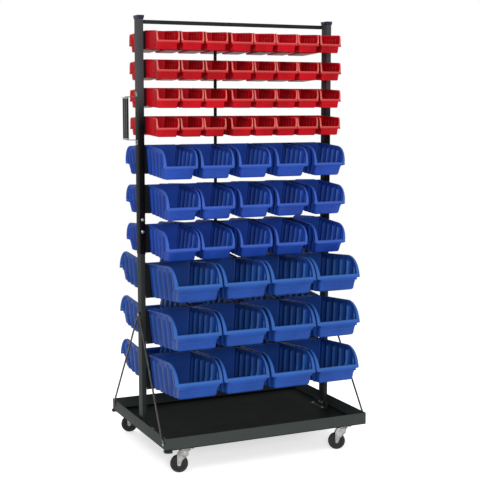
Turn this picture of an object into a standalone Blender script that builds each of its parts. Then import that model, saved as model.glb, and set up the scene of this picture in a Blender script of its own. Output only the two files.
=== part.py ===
# Mobile bin cart: a tray on four swivel casters carries two telescoped uprights with ten
# bin rails between them, and rows of open-fronted bins hang on both sides of every rail.
# Metres, +Z up, the front faces -Y. The origin is on the ground under the middle of the cart's box.
import math
from types import SimpleNamespace

import bmesh
import bpy
from mathutils import Vector

# Clearances
gap = 0.0003
overrun = 0.002

# Casters
wheel_radius = 0.0375
wheel_width = 0.024
wheel_edge_round = 0.004
wheel_sides = 24
axle_radius = 0.004
axle_head_radius = 0.0065
axle_head_height = 0.0025
caster_height = 0.109
caster_plate_side = 0.060
caster_plate_thickness = 0.0025
race_radius = 0.022
race_height = 0.0085
king_pin_radius = 0.005
king_pin_head_radius = 0.008
king_pin_head_height = 0.003
crown_radius = 0.021
crown_thickness = 0.003
leg_thickness = 0.0025
leg_side_gap = 0.0006
leg_end_radius = 0.008
leg_front_reach = 0.013
leg_back_reach = 0.026
leg_shoulder = 0.020
trail = 0.028
trail_degrees = 158.3
caster_inset_x = 0.099
caster_inset_y = 0.033
round_sides = 16
arc_steps = 5

# Tray
tray_length = 0.950
tray_width = 0.700
tray_sheet = 0.002
tray_lip_height = 0.052
tray_lip_thickness = 0.003
corner_pad_length = 0.043
corner_pad_width = 0.039
corner_pad_height = 0.008
corner_pad_reach_x = 0.006
corner_pad_reach_y = 0.009
corner_pad_cut = 0.010

# Uprights, end to end
upright_spacing = 0.900
upper_depth = 0.050
upper_thickness = 0.024
tube_wall = 0.0015
upper_bottom_share = 0.4344
upper_top = 1.890
tube_overlap = 0.186
splice_bolt_rise = 0.097
splice_bolt_spacing = 0.052

# Caps on the uprights
cap_skirt_depth = 0.0117
cap_flare = 0.0022
cap_skirt_wall = 0.001
cap_top_thickness = 0.0032

# Rail across the top, lapped on the backs of the uprights
top_rail_depth = 0.016
top_rail_height = 0.016
top_rail_overlap = 0.002

# Strut on the fronts of the small and medium bins' rails
strut_width = 0.013
strut_thickness = 0.005
strut_offset = -0.1085
strut_top_inset = 0.006
strut_notch_slack = 0.0008

# Bin rails
rail_wall = 0.0015
rail_lip = 0.014
small_rail_half_depth = 0.015
small_rail_height = 0.080
medium_rail_half_depth = 0.015
medium_rail_height = 0.120
large_rail_half_depth = 0.012
large_rail_height = 0.146

# Hanger strip that joins the bins of a row and hooks over a rail's lip
hanger_thickness = 0.0015
hanger_drop = 0.007
rim_rise = 0.0023

# Small bins, with their levels as shares of the rack's height. The stray shares say how far
# each bin hangs from its even place, as a share of the pitch.
small_count = 8
small_levels = 4
small_top_share = 0.9668
small_step_share = 0.0671
small_row_shift = -0.0037
small_tilt_degrees = 3.0
small_length = 0.165
small_height = 0.0775
small_row_slack = 0.0210
small_bin_gap = 0.0068
small_draft = 0.014
small_wall = 0.0025
small_lip_extra = 0.001
small_lip_top = 0.0395
small_lip_band = 0.012
small_lip_ear = 0.012
small_lip_thickness = 0.005
small_overhang = 0.009
small_setback = 0.012
small_curve_share = 0.89
small_curve_steps = 2
small_stray_shares = (-0.061, -0.061, -0.061, 0.061, 0.061, 0.061, 0.061, 0.061)

# Medium bins, with their levels as shares of the rack's height
medium_count = 5
medium_levels = 3
medium_top_share = 0.6970
medium_step_share = 0.0959
medium_row_shift = -0.009
medium_tilt_degrees = 3.5
medium_length = 0.244
medium_height = 0.125
medium_row_slack = 0.0094
medium_bin_gap = 0.0250
medium_draft = 0.0242
medium_wall = 0.0025
medium_lip_extra = 0.0018
medium_lip_top = 0.0585
medium_lip_band = 0.013
medium_lip_ear = 0.010
medium_lip_thickness = 0.005
medium_overhang = 0.012
medium_setback = 0.020
medium_curve_share = 0.70
medium_curve_steps = 3
medium_stray_shares = (0.0225, -0.0485, -0.0277, -0.0410, 0.0098)

# Large bins, with their levels as shares of the rack's height
large_count = 4
large_levels = 3
large_top_share = 0.4102
large_step_share = 0.1136
large_row_shift = 0.0
large_tilt_degrees = -4.6
large_length = 0.339
large_height = 0.148
large_row_slack = 0.0042
large_bin_gap = 0.0167
large_draft = 0.032
large_wall = 0.003
large_lip_extra = -0.002
large_lip_top = 0.070
large_lip_band = 0.025
large_lip_ear = 0.014
large_lip_thickness = 0.006
large_overhang = 0.014
large_setback = 0.024
large_curve_share = 0.76
large_curve_steps = 3
large_stray_shares = (0, 0, 0, 0)

# Handle on the left upright
strap_width = 0.020
strap_thickness = 0.003
strap_reach = 0.052
strap_drop = 0.325
strap_bolt_spacing = 0.203
strap_tab_reach = 0.012
strap_arm_inset = 0.009
grip_radius = 0.0135
grip_flute = 0.0008
grip_sides = 32

# Brace rods from the uprights down to the tray's ends
rod_radius = 0.004
rod_tab_width = 0.018
rod_tab_thickness = 0.003
rod_tab_end = 0.009
rod_tab_run = 0.013
rod_neck_run = 0.026
rod_top = 0.620
rod_foot_inset = 0.025
rod_foot_height = 0.024
rod_stand_off = 0.0006

# Foot brackets
bracket_length = 0.125
bracket_height = 0.030
bracket_reach = 0.030
bracket_thickness = 0.003
bracket_post_bolt_share = 0.10
bracket_floor_bolt_share = 0.36

# Bolt heads
bolt_flats = 0.010
bolt_height = 0.004
bolt_sides = 6

# Edges sharper than this stay creased on round pieces
smooth_degrees = 35.0

# Worked out from the sizes above
tray_underside = caster_height + gap
floor_top = tray_underside + tray_sheet
lip_top = tray_underside + tray_lip_height
rack_height = upper_top - floor_top
upper_bottom = floor_top + upper_bottom_share * rack_height
lower_top = upper_bottom + tube_overlap
splice_bolt_low = upper_bottom + splice_bolt_rise
splice_bolt_high = splice_bolt_low + splice_bolt_spacing
cap_base = upper_top - cap_skirt_depth
top_rail_top = cap_base - gap
strap_bolt_top = upper_top - strap_drop
strap_bolt_bottom = strap_bolt_top - strap_bolt_spacing
lower_depth = upper_depth - 2 * (tube_wall + gap)
lower_thickness = upper_thickness - 2 * (tube_wall + gap)
upright_x = upright_spacing / 2
upper_outer_x = upright_x + upper_thickness / 2
upper_inner_x = upright_x - upper_thickness / 2
lower_outer_x = upright_x + lower_thickness / 2
lower_inner_x = upright_x - lower_thickness / 2
tray_end_x = tray_length / 2
grip_x = upper_outer_x + strap_reach - strap_thickness / 2
rod_foot_x = tray_end_x + rod_radius + rod_stand_off
reach_left = grip_x + grip_radius
reach_right = rod_foot_x + rod_radius
centre_shift = (reach_left - reach_right) / 2

for old in list(bpy.data.objects):
    bpy.data.objects.remove(old, do_unlink=True)


def material(name, colour, roughness, metallic):
    made = bpy.data.materials.new(name)
    made.use_nodes = True
    shader = made.node_tree.nodes["Principled BSDF"]
    shader.inputs["Base Color"].default_value = (*colour, 1)
    shader.inputs["Roughness"].default_value = roughness
    shader.inputs["Metallic"].default_value = metallic
    made.diffuse_color = (*colour, 1)
    return made


black_paint = material("Black powder coat", (0.012, 0.013, 0.015), 0.45, 0.0)
grey_paint = material("Dark grey powder coat", (0.045, 0.048, 0.048), 0.42, 0.0)
rail_paint = material("Black rail paint", (0.008, 0.008, 0.010), 0.50, 0.0)
zinc = material("Zinc plate", (0.60, 0.60, 0.58), 0.30, 1.0)
rubber = material("Dark rubber", (0.035, 0.035, 0.035), 0.75, 0.0)
cap_plastic = material("Cap plastic", (0.015, 0.017, 0.025), 0.40, 0.0)
grip_plastic = material("Grip plastic", (0.040, 0.040, 0.042), 0.55, 0.0)
red_plastic = material("Red polypropylene", (0.50, 0.012, 0.020), 0.25, 0.0)
blue_plastic = material("Blue polypropylene", (0.025, 0.060, 0.36), 0.25, 0.0)
deep_blue_plastic = material("Deep blue polypropylene", (0.018, 0.065, 0.30), 0.25, 0.0)

cart = bpy.data.objects.new("cart_centre", None)
bpy.context.scene.collection.objects.link(cart)
cart.location = (centre_shift, 0, 0)


def loft(rings):
    """A closed mesh through rings of equally many points, with flat ends."""
    shape = bmesh.new()
    rows = [[shape.verts.new(point) for point in ring] for ring in rings]
    count = len(rows[0])
    for low, high in zip(rows, rows[1:]):
        for i in range(count):
            j = (i + 1) % count
            shape.faces.new((low[i], low[j], high[j], high[i]))
    shape.faces.new(list(reversed(rows[0])))
    shape.faces.new(rows[-1])
    bmesh.ops.recalc_face_normals(shape, faces=shape.faces)
    return finish_mesh(shape)


def finish_mesh(shape):
    mesh = bpy.data.meshes.new("shape")
    shape.to_mesh(mesh)
    shape.free()
    return mesh


def box(x0, x1, y0, y1, z0, z1):
    ring = ((x0, y0), (x1, y0), (x1, y1), (x0, y1))
    return loft([[(x, y, z0) for x, y in ring], [(x, y, z1) for x, y in ring]])


def along_x(outline, x0, x1):
    """An outline of (y, z) points drawn out along X."""
    return loft([[(x0, y, z) for y, z in outline], [(x1, y, z) for y, z in outline]])


def along_y(outline, y0, y1):
    """An outline of (x, z) points drawn out along Y."""
    return loft([[(x, y0, z) for x, z in outline], [(x, y1, z) for x, z in outline]])


def circle(radius, sides, turn=0.0):
    step = 2 * math.pi / sides
    return [(radius * math.cos(step * i + turn), radius * math.sin(step * i + turn)) for i in range(sides)]


def post(radius, z0, z1):
    return loft([[(a, b, z) for a, b in circle(radius, round_sides)] for z in (z0, z1)])


def rod_along_y(radius, y0, y1, x, z):
    ring = circle(radius, round_sides)
    return loft([[(x + a, y, z + b) for a, b in ring] for y in (y0, y1)])


def bolt_head(centre, direction):
    """A hexagon head that stands on a face, sunk into it a little so that it joins its piece."""
    radius = bolt_flats / 2 / math.cos(math.pi / bolt_sides)
    normal = Vector(direction)
    turn = normal.to_track_quat("Z", "Y")
    ring = circle(radius, bolt_sides)
    foot = -tube_wall / 2
    ends = (foot, bolt_height)
    return loft([[Vector(centre) + turn @ Vector((a, b, h)) for a, b in ring] for h in ends])


def joined(first, others, operation="UNION"):
    """The first mesh with the others added to it or cut from it."""
    base = bpy.data.objects.new("base", first)
    bpy.context.scene.collection.objects.link(base)
    tools = []
    for other in others:
        tool = bpy.data.objects.new("tool", other)
        bpy.context.scene.collection.objects.link(tool)
        change = base.modifiers.new("change", "BOOLEAN")
        change.operation = operation
        change.solver = "EXACT"
        change.object = tool
        tools.append(tool)
    view = bpy.context.evaluated_depsgraph_get()
    result = bpy.data.meshes.new_from_object(base.evaluated_get(view))
    for used in [base] + tools:
        bpy.data.objects.remove(used, do_unlink=True)
    return result


def cut(first, others):
    return joined(first, others, "DIFFERENCE")


def place(name, mesh, surface, location=(0, 0, 0), rotation=(0, 0, 0), smooth=False):
    if not mesh.materials:
        mesh.materials.append(surface)
    made = bpy.data.objects.new(name, mesh)
    bpy.context.scene.collection.objects.link(made)
    made.parent = cart
    made.location = location
    made.rotation_euler = rotation
    if smooth:
        mesh.shade_smooth()
        mesh.set_sharp_from_angle(angle=math.radians(smooth_degrees))
    return made


# Tray: a folded sheet with upright lips, and two pads under its left corners

def tray_mesh():
    x, y = tray_end_x, tray_width / 2
    shell = box(-x, x, -y, y, tray_underside, lip_top)
    inside_x = x - tray_lip_thickness
    inside_y = y - tray_lip_thickness
    hollow = box(-inside_x, inside_x, -inside_y, inside_y, floor_top, lip_top + overrun)
    folded = cut(shell, [hollow])
    pads = []
    for side in (-1, 1):
        edge_x = -x - corner_pad_reach_x
        edge_y = y + corner_pad_reach_y
        inner_x = edge_x + corner_pad_length
        inner_y = edge_y - corner_pad_width
        outline = (
            (edge_x, inner_y),
            (inner_x, inner_y),
            (inner_x, edge_y),
            (edge_x + corner_pad_cut, edge_y),
            (edge_x, edge_y - corner_pad_cut),
        )
        levels = (tray_underside - corner_pad_height, tray_underside + tray_sheet / 2)
        pads.append(loft([[(px, side * py, z) for px, py in outline] for z in levels]))
    return joined(folded, pads)


place("tray", tray_mesh(), grey_paint)


# Uprights: an upper tube sleeved over a lower one, bolted together at two heights

def tube_mesh(width, depth, z0, z1):
    outer = box(-width / 2, width / 2, -depth / 2, depth / 2, z0, z1)
    inner_x = width / 2 - tube_wall
    inner_y = depth / 2 - tube_wall
    return cut(outer, [box(-inner_x, inner_x, -inner_y, inner_y, z0 - overrun, z1 + overrun)])


def upper_tube_mesh():
    tube = tube_mesh(upper_thickness, upper_depth, upper_bottom, upper_top)
    face_y = -upper_depth / 2
    heads = [bolt_head((0, face_y, height), (0, -1, 0)) for height in (splice_bolt_low, splice_bolt_high)]
    return joined(tube, heads)


lower_tube = tube_mesh(lower_thickness, lower_depth, floor_top + gap, lower_top)
upper_tube = upper_tube_mesh()
for side_name, side in (("left", -1), ("right", 1)):
    place(f"upright_{side_name}_lower", lower_tube, grey_paint, (side * upright_x, 0, 0))
    place(f"upright_{side_name}_upper", upper_tube, black_paint, (side * upright_x, 0, 0))


# Caps: a skirt that flares upwards, with a pocket for the tube

def cap_mesh():
    pocket_x = upper_thickness / 2 + gap
    pocket_y = upper_depth / 2 + gap
    skirt_x = pocket_x + cap_skirt_wall
    skirt_y = pocket_y + cap_skirt_wall
    top_x = skirt_x + cap_flare
    top_y = skirt_y + cap_flare
    skirt_z = cap_base
    pocket_z = upper_top + gap
    top_z = pocket_z + cap_top_thickness
    levels = ((pocket_x, pocket_y, pocket_z), (pocket_x, pocket_y, skirt_z),
              (skirt_x, skirt_y, skirt_z), (top_x, top_y, top_z))
    return loft([[(-x, -y, z), (x, -y, z), (x, y, z), (-x, y, z)] for x, y, z in levels])


cap = cap_mesh()
for side_name, side in (("left", -1), ("right", 1)):
    place(f"cap_{side_name}", cap, cap_plastic, (side * upright_x, 0, 0))


# Top rail: a square tube lapped on the backs of the uprights

def top_rail_mesh():
    half = upright_x + top_rail_overlap
    y0 = upper_depth / 2 + gap
    y1 = y0 + top_rail_depth
    z1 = top_rail_top
    z0 = z1 - top_rail_height
    bore = box(
        -half - overrun, half + overrun,
        y0 + tube_wall, y1 - tube_wall,
        z0 + tube_wall, z1 - tube_wall,
    )
    return cut(box(-half, half, y0, y1, z0, z1), [bore])


place("top_rail", top_rail_mesh(), grey_paint)


# Bin sizes, with the rail that each size hangs on

def bin_size(**sizes):
    size = SimpleNamespace(**sizes)
    size.tilt = math.radians(size.tilt_degrees)
    size.pitch = (2 * size.rail_half_length - size.row_slack) / size.count
    size.top_width = size.pitch - size.bin_gap
    size.bottom_width = size.top_width - size.draft
    size.lip_width = size.top_width + size.lip_extra
    size.foot_half_depth = size.rail_half_depth - size.rail_height * math.tan(size.tilt)
    shares = [size.top_share - size.step_share * i for i in range(size.levels)]
    size.tops = [floor_top + share * rack_height for share in shares]
    size.rail_tops = [top - rim_rise * math.cos(size.tilt) for top in size.tops]
    return size


small = bin_size(
    name="small", surface=red_plastic, count=small_count, levels=small_levels, top_share=small_top_share,
    step_share=small_step_share, row_shift=small_row_shift, tilt_degrees=small_tilt_degrees,
    length=small_length, height=small_height, row_slack=small_row_slack, bin_gap=small_bin_gap,
    draft=small_draft, wall=small_wall, lip_extra=small_lip_extra, lip_top=small_lip_top,
    lip_band=small_lip_band, lip_ear=small_lip_ear, lip_thickness=small_lip_thickness,
    overhang=small_overhang, setback=small_setback, curve_share=small_curve_share,
    curve_steps=small_curve_steps, strays=small_stray_shares, by_strut=True,
    rail_half_depth=small_rail_half_depth, rail_height=small_rail_height,
    rail_half_length=upper_inner_x - gap,
)
medium = bin_size(
    name="medium", surface=blue_plastic, count=medium_count, levels=medium_levels,
    top_share=medium_top_share, step_share=medium_step_share, row_shift=medium_row_shift,
    tilt_degrees=medium_tilt_degrees, length=medium_length, height=medium_height, row_slack=medium_row_slack,
    bin_gap=medium_bin_gap, draft=medium_draft, wall=medium_wall,
    lip_extra=medium_lip_extra, lip_top=medium_lip_top, lip_band=medium_lip_band,
    lip_ear=medium_lip_ear, lip_thickness=medium_lip_thickness, overhang=medium_overhang,
    setback=medium_setback, curve_share=medium_curve_share, curve_steps=medium_curve_steps,
    strays=medium_stray_shares, by_strut=True,
    rail_half_depth=medium_rail_half_depth, rail_height=medium_rail_height,
    rail_half_length=upper_inner_x - gap,
)
large = bin_size(
    name="large", surface=deep_blue_plastic, count=large_count, levels=large_levels,
    top_share=large_top_share, step_share=large_step_share, row_shift=large_row_shift,
    tilt_degrees=large_tilt_degrees, length=large_length, height=large_height, row_slack=large_row_slack,
    bin_gap=large_bin_gap, draft=large_draft, wall=large_wall,
    lip_extra=large_lip_extra, lip_top=large_lip_top, lip_band=large_lip_band, lip_ear=large_lip_ear,
    lip_thickness=large_lip_thickness, overhang=large_overhang, setback=large_setback,
    curve_share=large_curve_share, curve_steps=large_curve_steps, strays=large_stray_shares,
    by_strut=False, rail_half_depth=large_rail_half_depth, rail_height=large_rail_height,
    rail_half_length=lower_inner_x - gap,
)


# Bin rails: a folded section with a lip on each side, a web across, and skirts that lean with the bins

def rail_outline(size):
    top, foot = size.rail_half_depth, size.foot_half_depth
    lean = (foot - top) / size.rail_height

    def half(depth):
        return top + lean * depth

    web = rail_lip + rail_wall
    end = size.rail_height
    right = [(top, 0), (foot, -end), (foot - rail_wall, -end), (half(web) - rail_wall, -web)]
    left = [(-y, z) for y, z in reversed(right)]
    inside = [(-top + rail_wall, 0), (-half(rail_lip) + rail_wall, -rail_lip)]
    return left + inside + [(-y, z) for y, z in reversed(inside)] + right


for size in (small, medium, large):
    rail = along_x(rail_outline(size), -size.rail_half_length, size.rail_half_length)
    for level in range(size.levels):
        place(f"rail_{size.name}_{level + 1}", rail, rail_paint, (0, 0, size.rail_tops[level]))


# Strut: a flat bar down the fronts of the rails, between the bins on each side of it

strut_top = small.rail_tops[0] - strut_top_inset
strut_bottom = medium.rail_tops[-1] - rail_lip
strut_y = -max(small.rail_half_depth, medium.rail_half_depth) - gap - strut_thickness / 2
strut = box(
    -strut_width / 2, strut_width / 2,
    -strut_thickness / 2, strut_thickness / 2,
    strut_bottom, strut_top,
)
place("center_strut", strut, rail_paint, (strut_offset, strut_y, 0))


# Rows of bins. In a row's own axes the rail's face is y = 0, the bins reach out along -Y,
# and z = 0 is the top edge of the rail's lip.

def tapered(size, outline, inset):
    """An outline of (reach, z) points, as wide as the bin is at each height less the inset."""
    bottom = rim_rise - size.height
    spread = (size.top_width - size.bottom_width) / 2 / size.height

    def half(z):
        return size.bottom_width / 2 + spread * (z - bottom) - inset

    return loft([[(side * half(z), -reach, z) for reach, z in outline] for side in (-1, 1)])


def bin_mesh(size):
    top = rim_rise
    bottom = rim_rise - size.height
    lip = bottom + size.lip_top
    front = size.length
    band_z = lip - size.lip_band
    curve_x = size.curve_share * size.length
    curve_end = front - size.lip_thickness
    curve_low = lip - size.lip_band / 2
    curve = []
    for i in range(size.curve_steps + 1):
        angle = math.pi / 2 * i / size.curve_steps
        reach = curve_end + (curve_x - curve_end) * (1 - math.sin(angle))
        curve.append((reach, curve_low + (top - curve_low) * math.cos(angle)))
    body_outline = [
        (gap, top), *curve,
        (front - size.overhang, band_z), (front - size.setback, bottom), (gap, bottom),
    ]
    slope = (size.overhang + size.wall - size.lip_thickness) / size.lip_band
    clear = top + overrun
    cavity_outline = [
        (gap + size.wall, clear),
        (front - size.lip_thickness + slope * (clear - lip), clear),
        (front - size.overhang - size.wall, band_z),
        (front - size.setback - size.wall, bottom + size.wall),
        (gap + size.wall, bottom + size.wall),
    ]
    half_lip = size.lip_width / 2
    half_body = size.bottom_width / 2
    ear_z = lip - size.lip_ear
    lip_shape = [(half_lip, lip), (half_lip, ear_z), (-half_lip, ear_z), (-half_lip, lip)]
    if size.lip_ear < size.lip_band:
        lip_shape[2:2] = [(half_body, band_z), (-half_body, band_z)]
    lip_back = size.overhang + size.wall / 2
    band = along_y(lip_shape, -front, -front + lip_back)
    whole = joined(tapered(size, body_outline, 0), [band])
    return cut(whole, [tapered(size, cavity_outline, size.wall)])


def row_mesh(size):
    single = bin_mesh(size)
    row = bmesh.new()
    for i in range(size.count):
        offset = (i - (size.count - 1) / 2 + size.strays[i % len(size.strays)]) * size.pitch
        start = len(row.verts)
        row.from_mesh(single)
        row.verts.ensure_lookup_table()
        bmesh.ops.translate(row, verts=row.verts[start:], vec=(offset, 0, 0))
    bins = finish_mesh(row)
    bpy.data.meshes.remove(single)
    middle = (size.count - 1) / 2
    left = (-middle + size.strays[0]) * size.pitch - size.bottom_width / 2
    last_stray = size.strays[(size.count - 1) % len(size.strays)]
    right = (middle + last_stray) * size.pitch + size.bottom_width / 2
    behind = -rail_wall - gap
    flange_top = gap + hanger_thickness
    seat = gap + size.wall / 2
    hanger = [
        (-seat, flange_top), (-seat, gap), (-behind, gap), (-behind, -hanger_drop),
        (-behind + hanger_thickness, -hanger_drop), (-behind + hanger_thickness, flange_top),
    ]
    whole = joined(bins, [along_x(hanger, left, right)])
    if not size.by_strut:
        return whole
    strut_x = strut_offset - size.row_shift
    half = strut_width / 2 + gap
    notch_back = gap + strut_notch_slack
    notch = box(strut_x - half, strut_x + half, -seat - overrun, notch_back, 0, flange_top + overrun)
    return cut(whole, [notch])


for size in (small, medium, large):
    mesh = row_mesh(size)
    for level in range(size.levels):
        for side_name, side, turn in (("front", -1, 0.0), ("rear", 1, math.pi)):
            location = (size.row_shift, side * size.rail_half_depth, size.rail_tops[level])
            name = f"bins_{size.name}_{level + 1}_{side_name}"
            place(name, mesh, size.surface, location, (size.tilt, 0, turn))


# Handle: a bent strap bolted to the left upright, with a fluted grip on its long side

def strap_mesh():
    near = upper_outer_x + gap
    tab = near + strap_thickness
    far = upper_outer_x + strap_reach
    core = far - strap_thickness
    arm_top = strap_bolt_top - strap_arm_inset
    arm_bottom = strap_bolt_bottom + strap_arm_inset
    outline = [
        (near, strap_bolt_top + strap_tab_reach), (tab, strap_bolt_top + strap_tab_reach),
        (tab, arm_top), (far, arm_top), (far, arm_bottom), (tab, arm_bottom),
        (tab, strap_bolt_bottom - strap_tab_reach), (near, strap_bolt_bottom - strap_tab_reach),
        (near, arm_bottom + strap_thickness), (core, arm_bottom + strap_thickness),
        (core, arm_top - strap_thickness), (near, arm_top - strap_thickness),
    ]
    strap = along_y([(-x, z) for x, z in outline], -strap_width / 2, strap_width / 2)
    heads = [bolt_head((-tab, 0, height), (-1, 0, 0)) for height in (strap_bolt_top, strap_bolt_bottom)]
    return joined(strap, heads)


def grip_mesh():
    top = strap_bolt_top - strap_arm_inset - strap_thickness - gap
    bottom = strap_bolt_bottom + strap_arm_inset + strap_thickness + gap
    ring = []
    for i, (x, y) in enumerate(circle(1, grip_sides)):
        radius = grip_radius - grip_flute * (i % 2)
        ring.append((x * radius, y * radius))
    body = loft([[(x, y, z) for x, y in ring] for z in (bottom, top)])
    slot_x = strap_thickness / 2 + gap
    slot_y = strap_width / 2 + gap
    return cut(body, [box(-slot_x, slot_x, -slot_y, slot_y, bottom - overrun, top + overrun)])


place("handle_strap", strap_mesh(), zinc)
place("handle_grip", grip_mesh(), grip_plastic, (-grip_x, 0, 0), smooth=True)


# Brace rods: round bar with flattened ends, from the uprights' outer faces to the tray's end lips

def rod_mesh(side, way, layer):
    tab_x = lower_outer_x + gap + rod_tab_thickness / 2 + layer * (rod_tab_thickness + gap)
    foot_tab_x = tray_end_x + gap + rod_tab_thickness / 2
    neck_x = lower_outer_x + gap + rod_radius + layer * (rod_tab_thickness + gap)
    start = Vector((0, rod_top))
    end = Vector((way * (tray_width / 2 - rod_foot_inset), tray_underside + rod_foot_height))
    run = (end - start).length
    ahead = (end - start) / run
    across = Vector((-ahead.y, ahead.x))
    flat = (rod_tab_thickness / 2, rod_tab_width / 2)
    full = (rod_radius, rod_radius)
    stations = (
        (-rod_tab_end, tab_x, flat), (rod_tab_run, tab_x, flat), (rod_neck_run, neck_x, full),
        (run - rod_neck_run, rod_foot_x, full), (run - rod_tab_run, foot_tab_x, flat),
        (run + rod_tab_end, foot_tab_x, flat),
    )
    rings = []
    for distance, x, (half_thick, half_wide) in stations:
        centre = start + ahead * distance
        corner = half_thick * (1 - math.tan(math.pi / 8))
        shape = []
        for sx, sy in ((1, 1), (-1, 1), (-1, -1), (1, -1)):
            pair = [(half_thick, half_wide - corner), (half_thick - corner, half_wide)]
            if sx * sy < 0:
                pair.reverse()
            shape += [(sx * a, sy * b) for a, b in pair]
        rings.append([(side * (x + a), centre.x + across.x * b, centre.y + across.y * b) for a, b in shape])
    rod = loft(rings)
    top_face = side * (tab_x + rod_tab_thickness / 2)
    foot_face = side * (foot_tab_x + rod_tab_thickness / 2)
    heads = [bolt_head((foot_face, end.x, end.y), (side, 0, 0))]
    if layer:
        heads.append(bolt_head((top_face, start.x, start.y), (side, 0, 0)))
    return joined(rod, heads)


for side_name, side in (("left", -1), ("right", 1)):
    for end_name, way, layer in (("front", -1, 0), ("rear", 1, 1)):
        place(f"brace_rod_{side_name}_{end_name}", rod_mesh(side, way, layer), zinc, smooth=True)


# Foot brackets: angles between the uprights and the tray floor

def bracket_mesh(side):
    back = lower_inner_x - gap
    face = back - bracket_thickness
    reach = back - bracket_reach
    low = floor_top + gap
    step = low + bracket_thickness
    outline = [(back, low), (back, low + bracket_height), (face, low + bracket_height), (face, step),
               (reach, step), (reach, low)]
    half = bracket_length / 2
    angle = along_y([(side * x, z) for x, z in outline], -half, half)
    heads = []
    for way in (-1, 1):
        post_y = way * bracket_length * bracket_post_bolt_share
        floor_y = way * bracket_length * bracket_floor_bolt_share
        heads.append(bolt_head((side * face, post_y, low + bracket_height / 2), (-side, 0, 0)))
        heads.append(bolt_head((side * (reach + face) / 2, floor_y, step), (0, 0, 1)))
    return joined(angle, heads)


for side_name, side in (("left", -1), ("right", 1)):
    place(f"foot_bracket_{side_name}", bracket_mesh(side), grey_paint)


# Casters: a fixed plate with its race and king pin, a fork that swivels on the pin, and a wheel

race_bottom = caster_height - caster_plate_thickness - race_height
crown_top = race_bottom - gap
crown_bottom = crown_top - crown_thickness


def caster_plate_mesh():
    half = caster_plate_side / 2
    plate_z = caster_height - caster_plate_thickness
    plate = box(-half, half, -half, half, plate_z, caster_height)
    race = post(race_radius, race_bottom, plate_z + caster_plate_thickness / 2)
    head_top = crown_bottom - gap
    pin = post(king_pin_radius, head_top - king_pin_head_height / 2, plate_z)
    head = post(king_pin_head_radius, head_top - king_pin_head_height, head_top)
    return joined(plate, [race, pin, head])


def fork_mesh():
    """Crown at z = 0, legs down and back along +X to the axle."""
    crown = post(crown_radius, -crown_thickness, 0)
    axle_z = wheel_radius - crown_top
    bore = post(king_pin_radius + gap, -crown_thickness - overrun, overrun)
    arc = []
    for i in range(arc_steps + 1):
        angle = -math.pi * i / arc_steps
        arc.append((trail + leg_end_radius * math.cos(angle), axle_z + leg_end_radius * math.sin(angle)))
    top = -crown_thickness / 2
    outline = [(-leg_front_reach, top), (leg_back_reach, top), (trail + leg_end_radius, -leg_shoulder)]
    outline += arc
    outline.append((-leg_front_reach, -leg_shoulder))
    inner = wheel_width / 2 + leg_side_gap
    outer = inner + leg_thickness
    legs = [along_y(outline, -outer, -inner), along_y(outline, inner, outer)]
    axle_half = outer + axle_head_height / 2
    axle = rod_along_y(axle_radius, -axle_half, axle_half, trail, axle_z)
    heads = []
    for way in (-1, 1):
        ends = (way * (outer - leg_thickness / 2), way * (outer + axle_head_height))
        heads.append(rod_along_y(axle_head_radius, min(ends), max(ends), trail, axle_z))
    whole = joined(crown, legs + [axle] + heads)
    return cut(whole, [bore])


def wheel_mesh():
    """A turned wheel about Y, standing on a flat of its tread, with a bore for the axle."""
    half = wheel_width / 2
    bore = axle_radius + gap
    flat = wheel_radius / math.cos(math.pi / wheel_sides)
    edge = flat - wheel_edge_round
    profile = [(bore, -half), (edge, -half), (flat, -half + wheel_edge_round),
               (flat, half - wheel_edge_round), (edge, half), (bore, half)]
    shape = bmesh.new()
    turn = math.pi / wheel_sides
    rings = []
    for radius, y in profile:
        rings.append([shape.verts.new((a, y, b)) for a, b in circle(radius, wheel_sides, turn)])
    for low, high in zip(rings, rings[1:] + rings[:1]):
        for i in range(wheel_sides):
            j = (i + 1) % wheel_sides
            shape.faces.new((low[i], low[j], high[j], high[i]))
    bmesh.ops.recalc_face_normals(shape, faces=shape.faces)
    return finish_mesh(shape)


caster_plate = caster_plate_mesh()
fork = fork_mesh()
wheel = wheel_mesh()
trail_angle = math.radians(trail_degrees)
caster_x = tray_end_x - caster_inset_x
caster_y = tray_width / 2 - caster_inset_y
for side_name, side in (("left", -1), ("right", 1)):
    for end_name, way in (("front", -1), ("rear", 1)):
        pivot = Vector((side * caster_x, way * caster_y, 0))
        corner = f"{side_name}_{end_name}"
        place(f"caster_plate_{corner}", caster_plate, zinc, pivot)
        place(f"caster_fork_{corner}", fork, zinc, pivot + Vector((0, 0, crown_top)), (0, 0, trail_angle))
        axle = pivot + Vector((trail * math.cos(trail_angle), trail * math.sin(trail_angle), wheel_radius))
        place(f"caster_wheel_{corner}", wheel, rubber, axle, (0, 0, trail_angle), smooth=True)
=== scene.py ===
# Mobile bin cart: rows of red and blue hanging bins on both sides of a steel rack,
# which stands in a lipped tray on four swivel casters. Metres, +Z up, the front faces -Y.
import math

import bmesh
import bpy
from mathutils import Matrix, Vector


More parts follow.
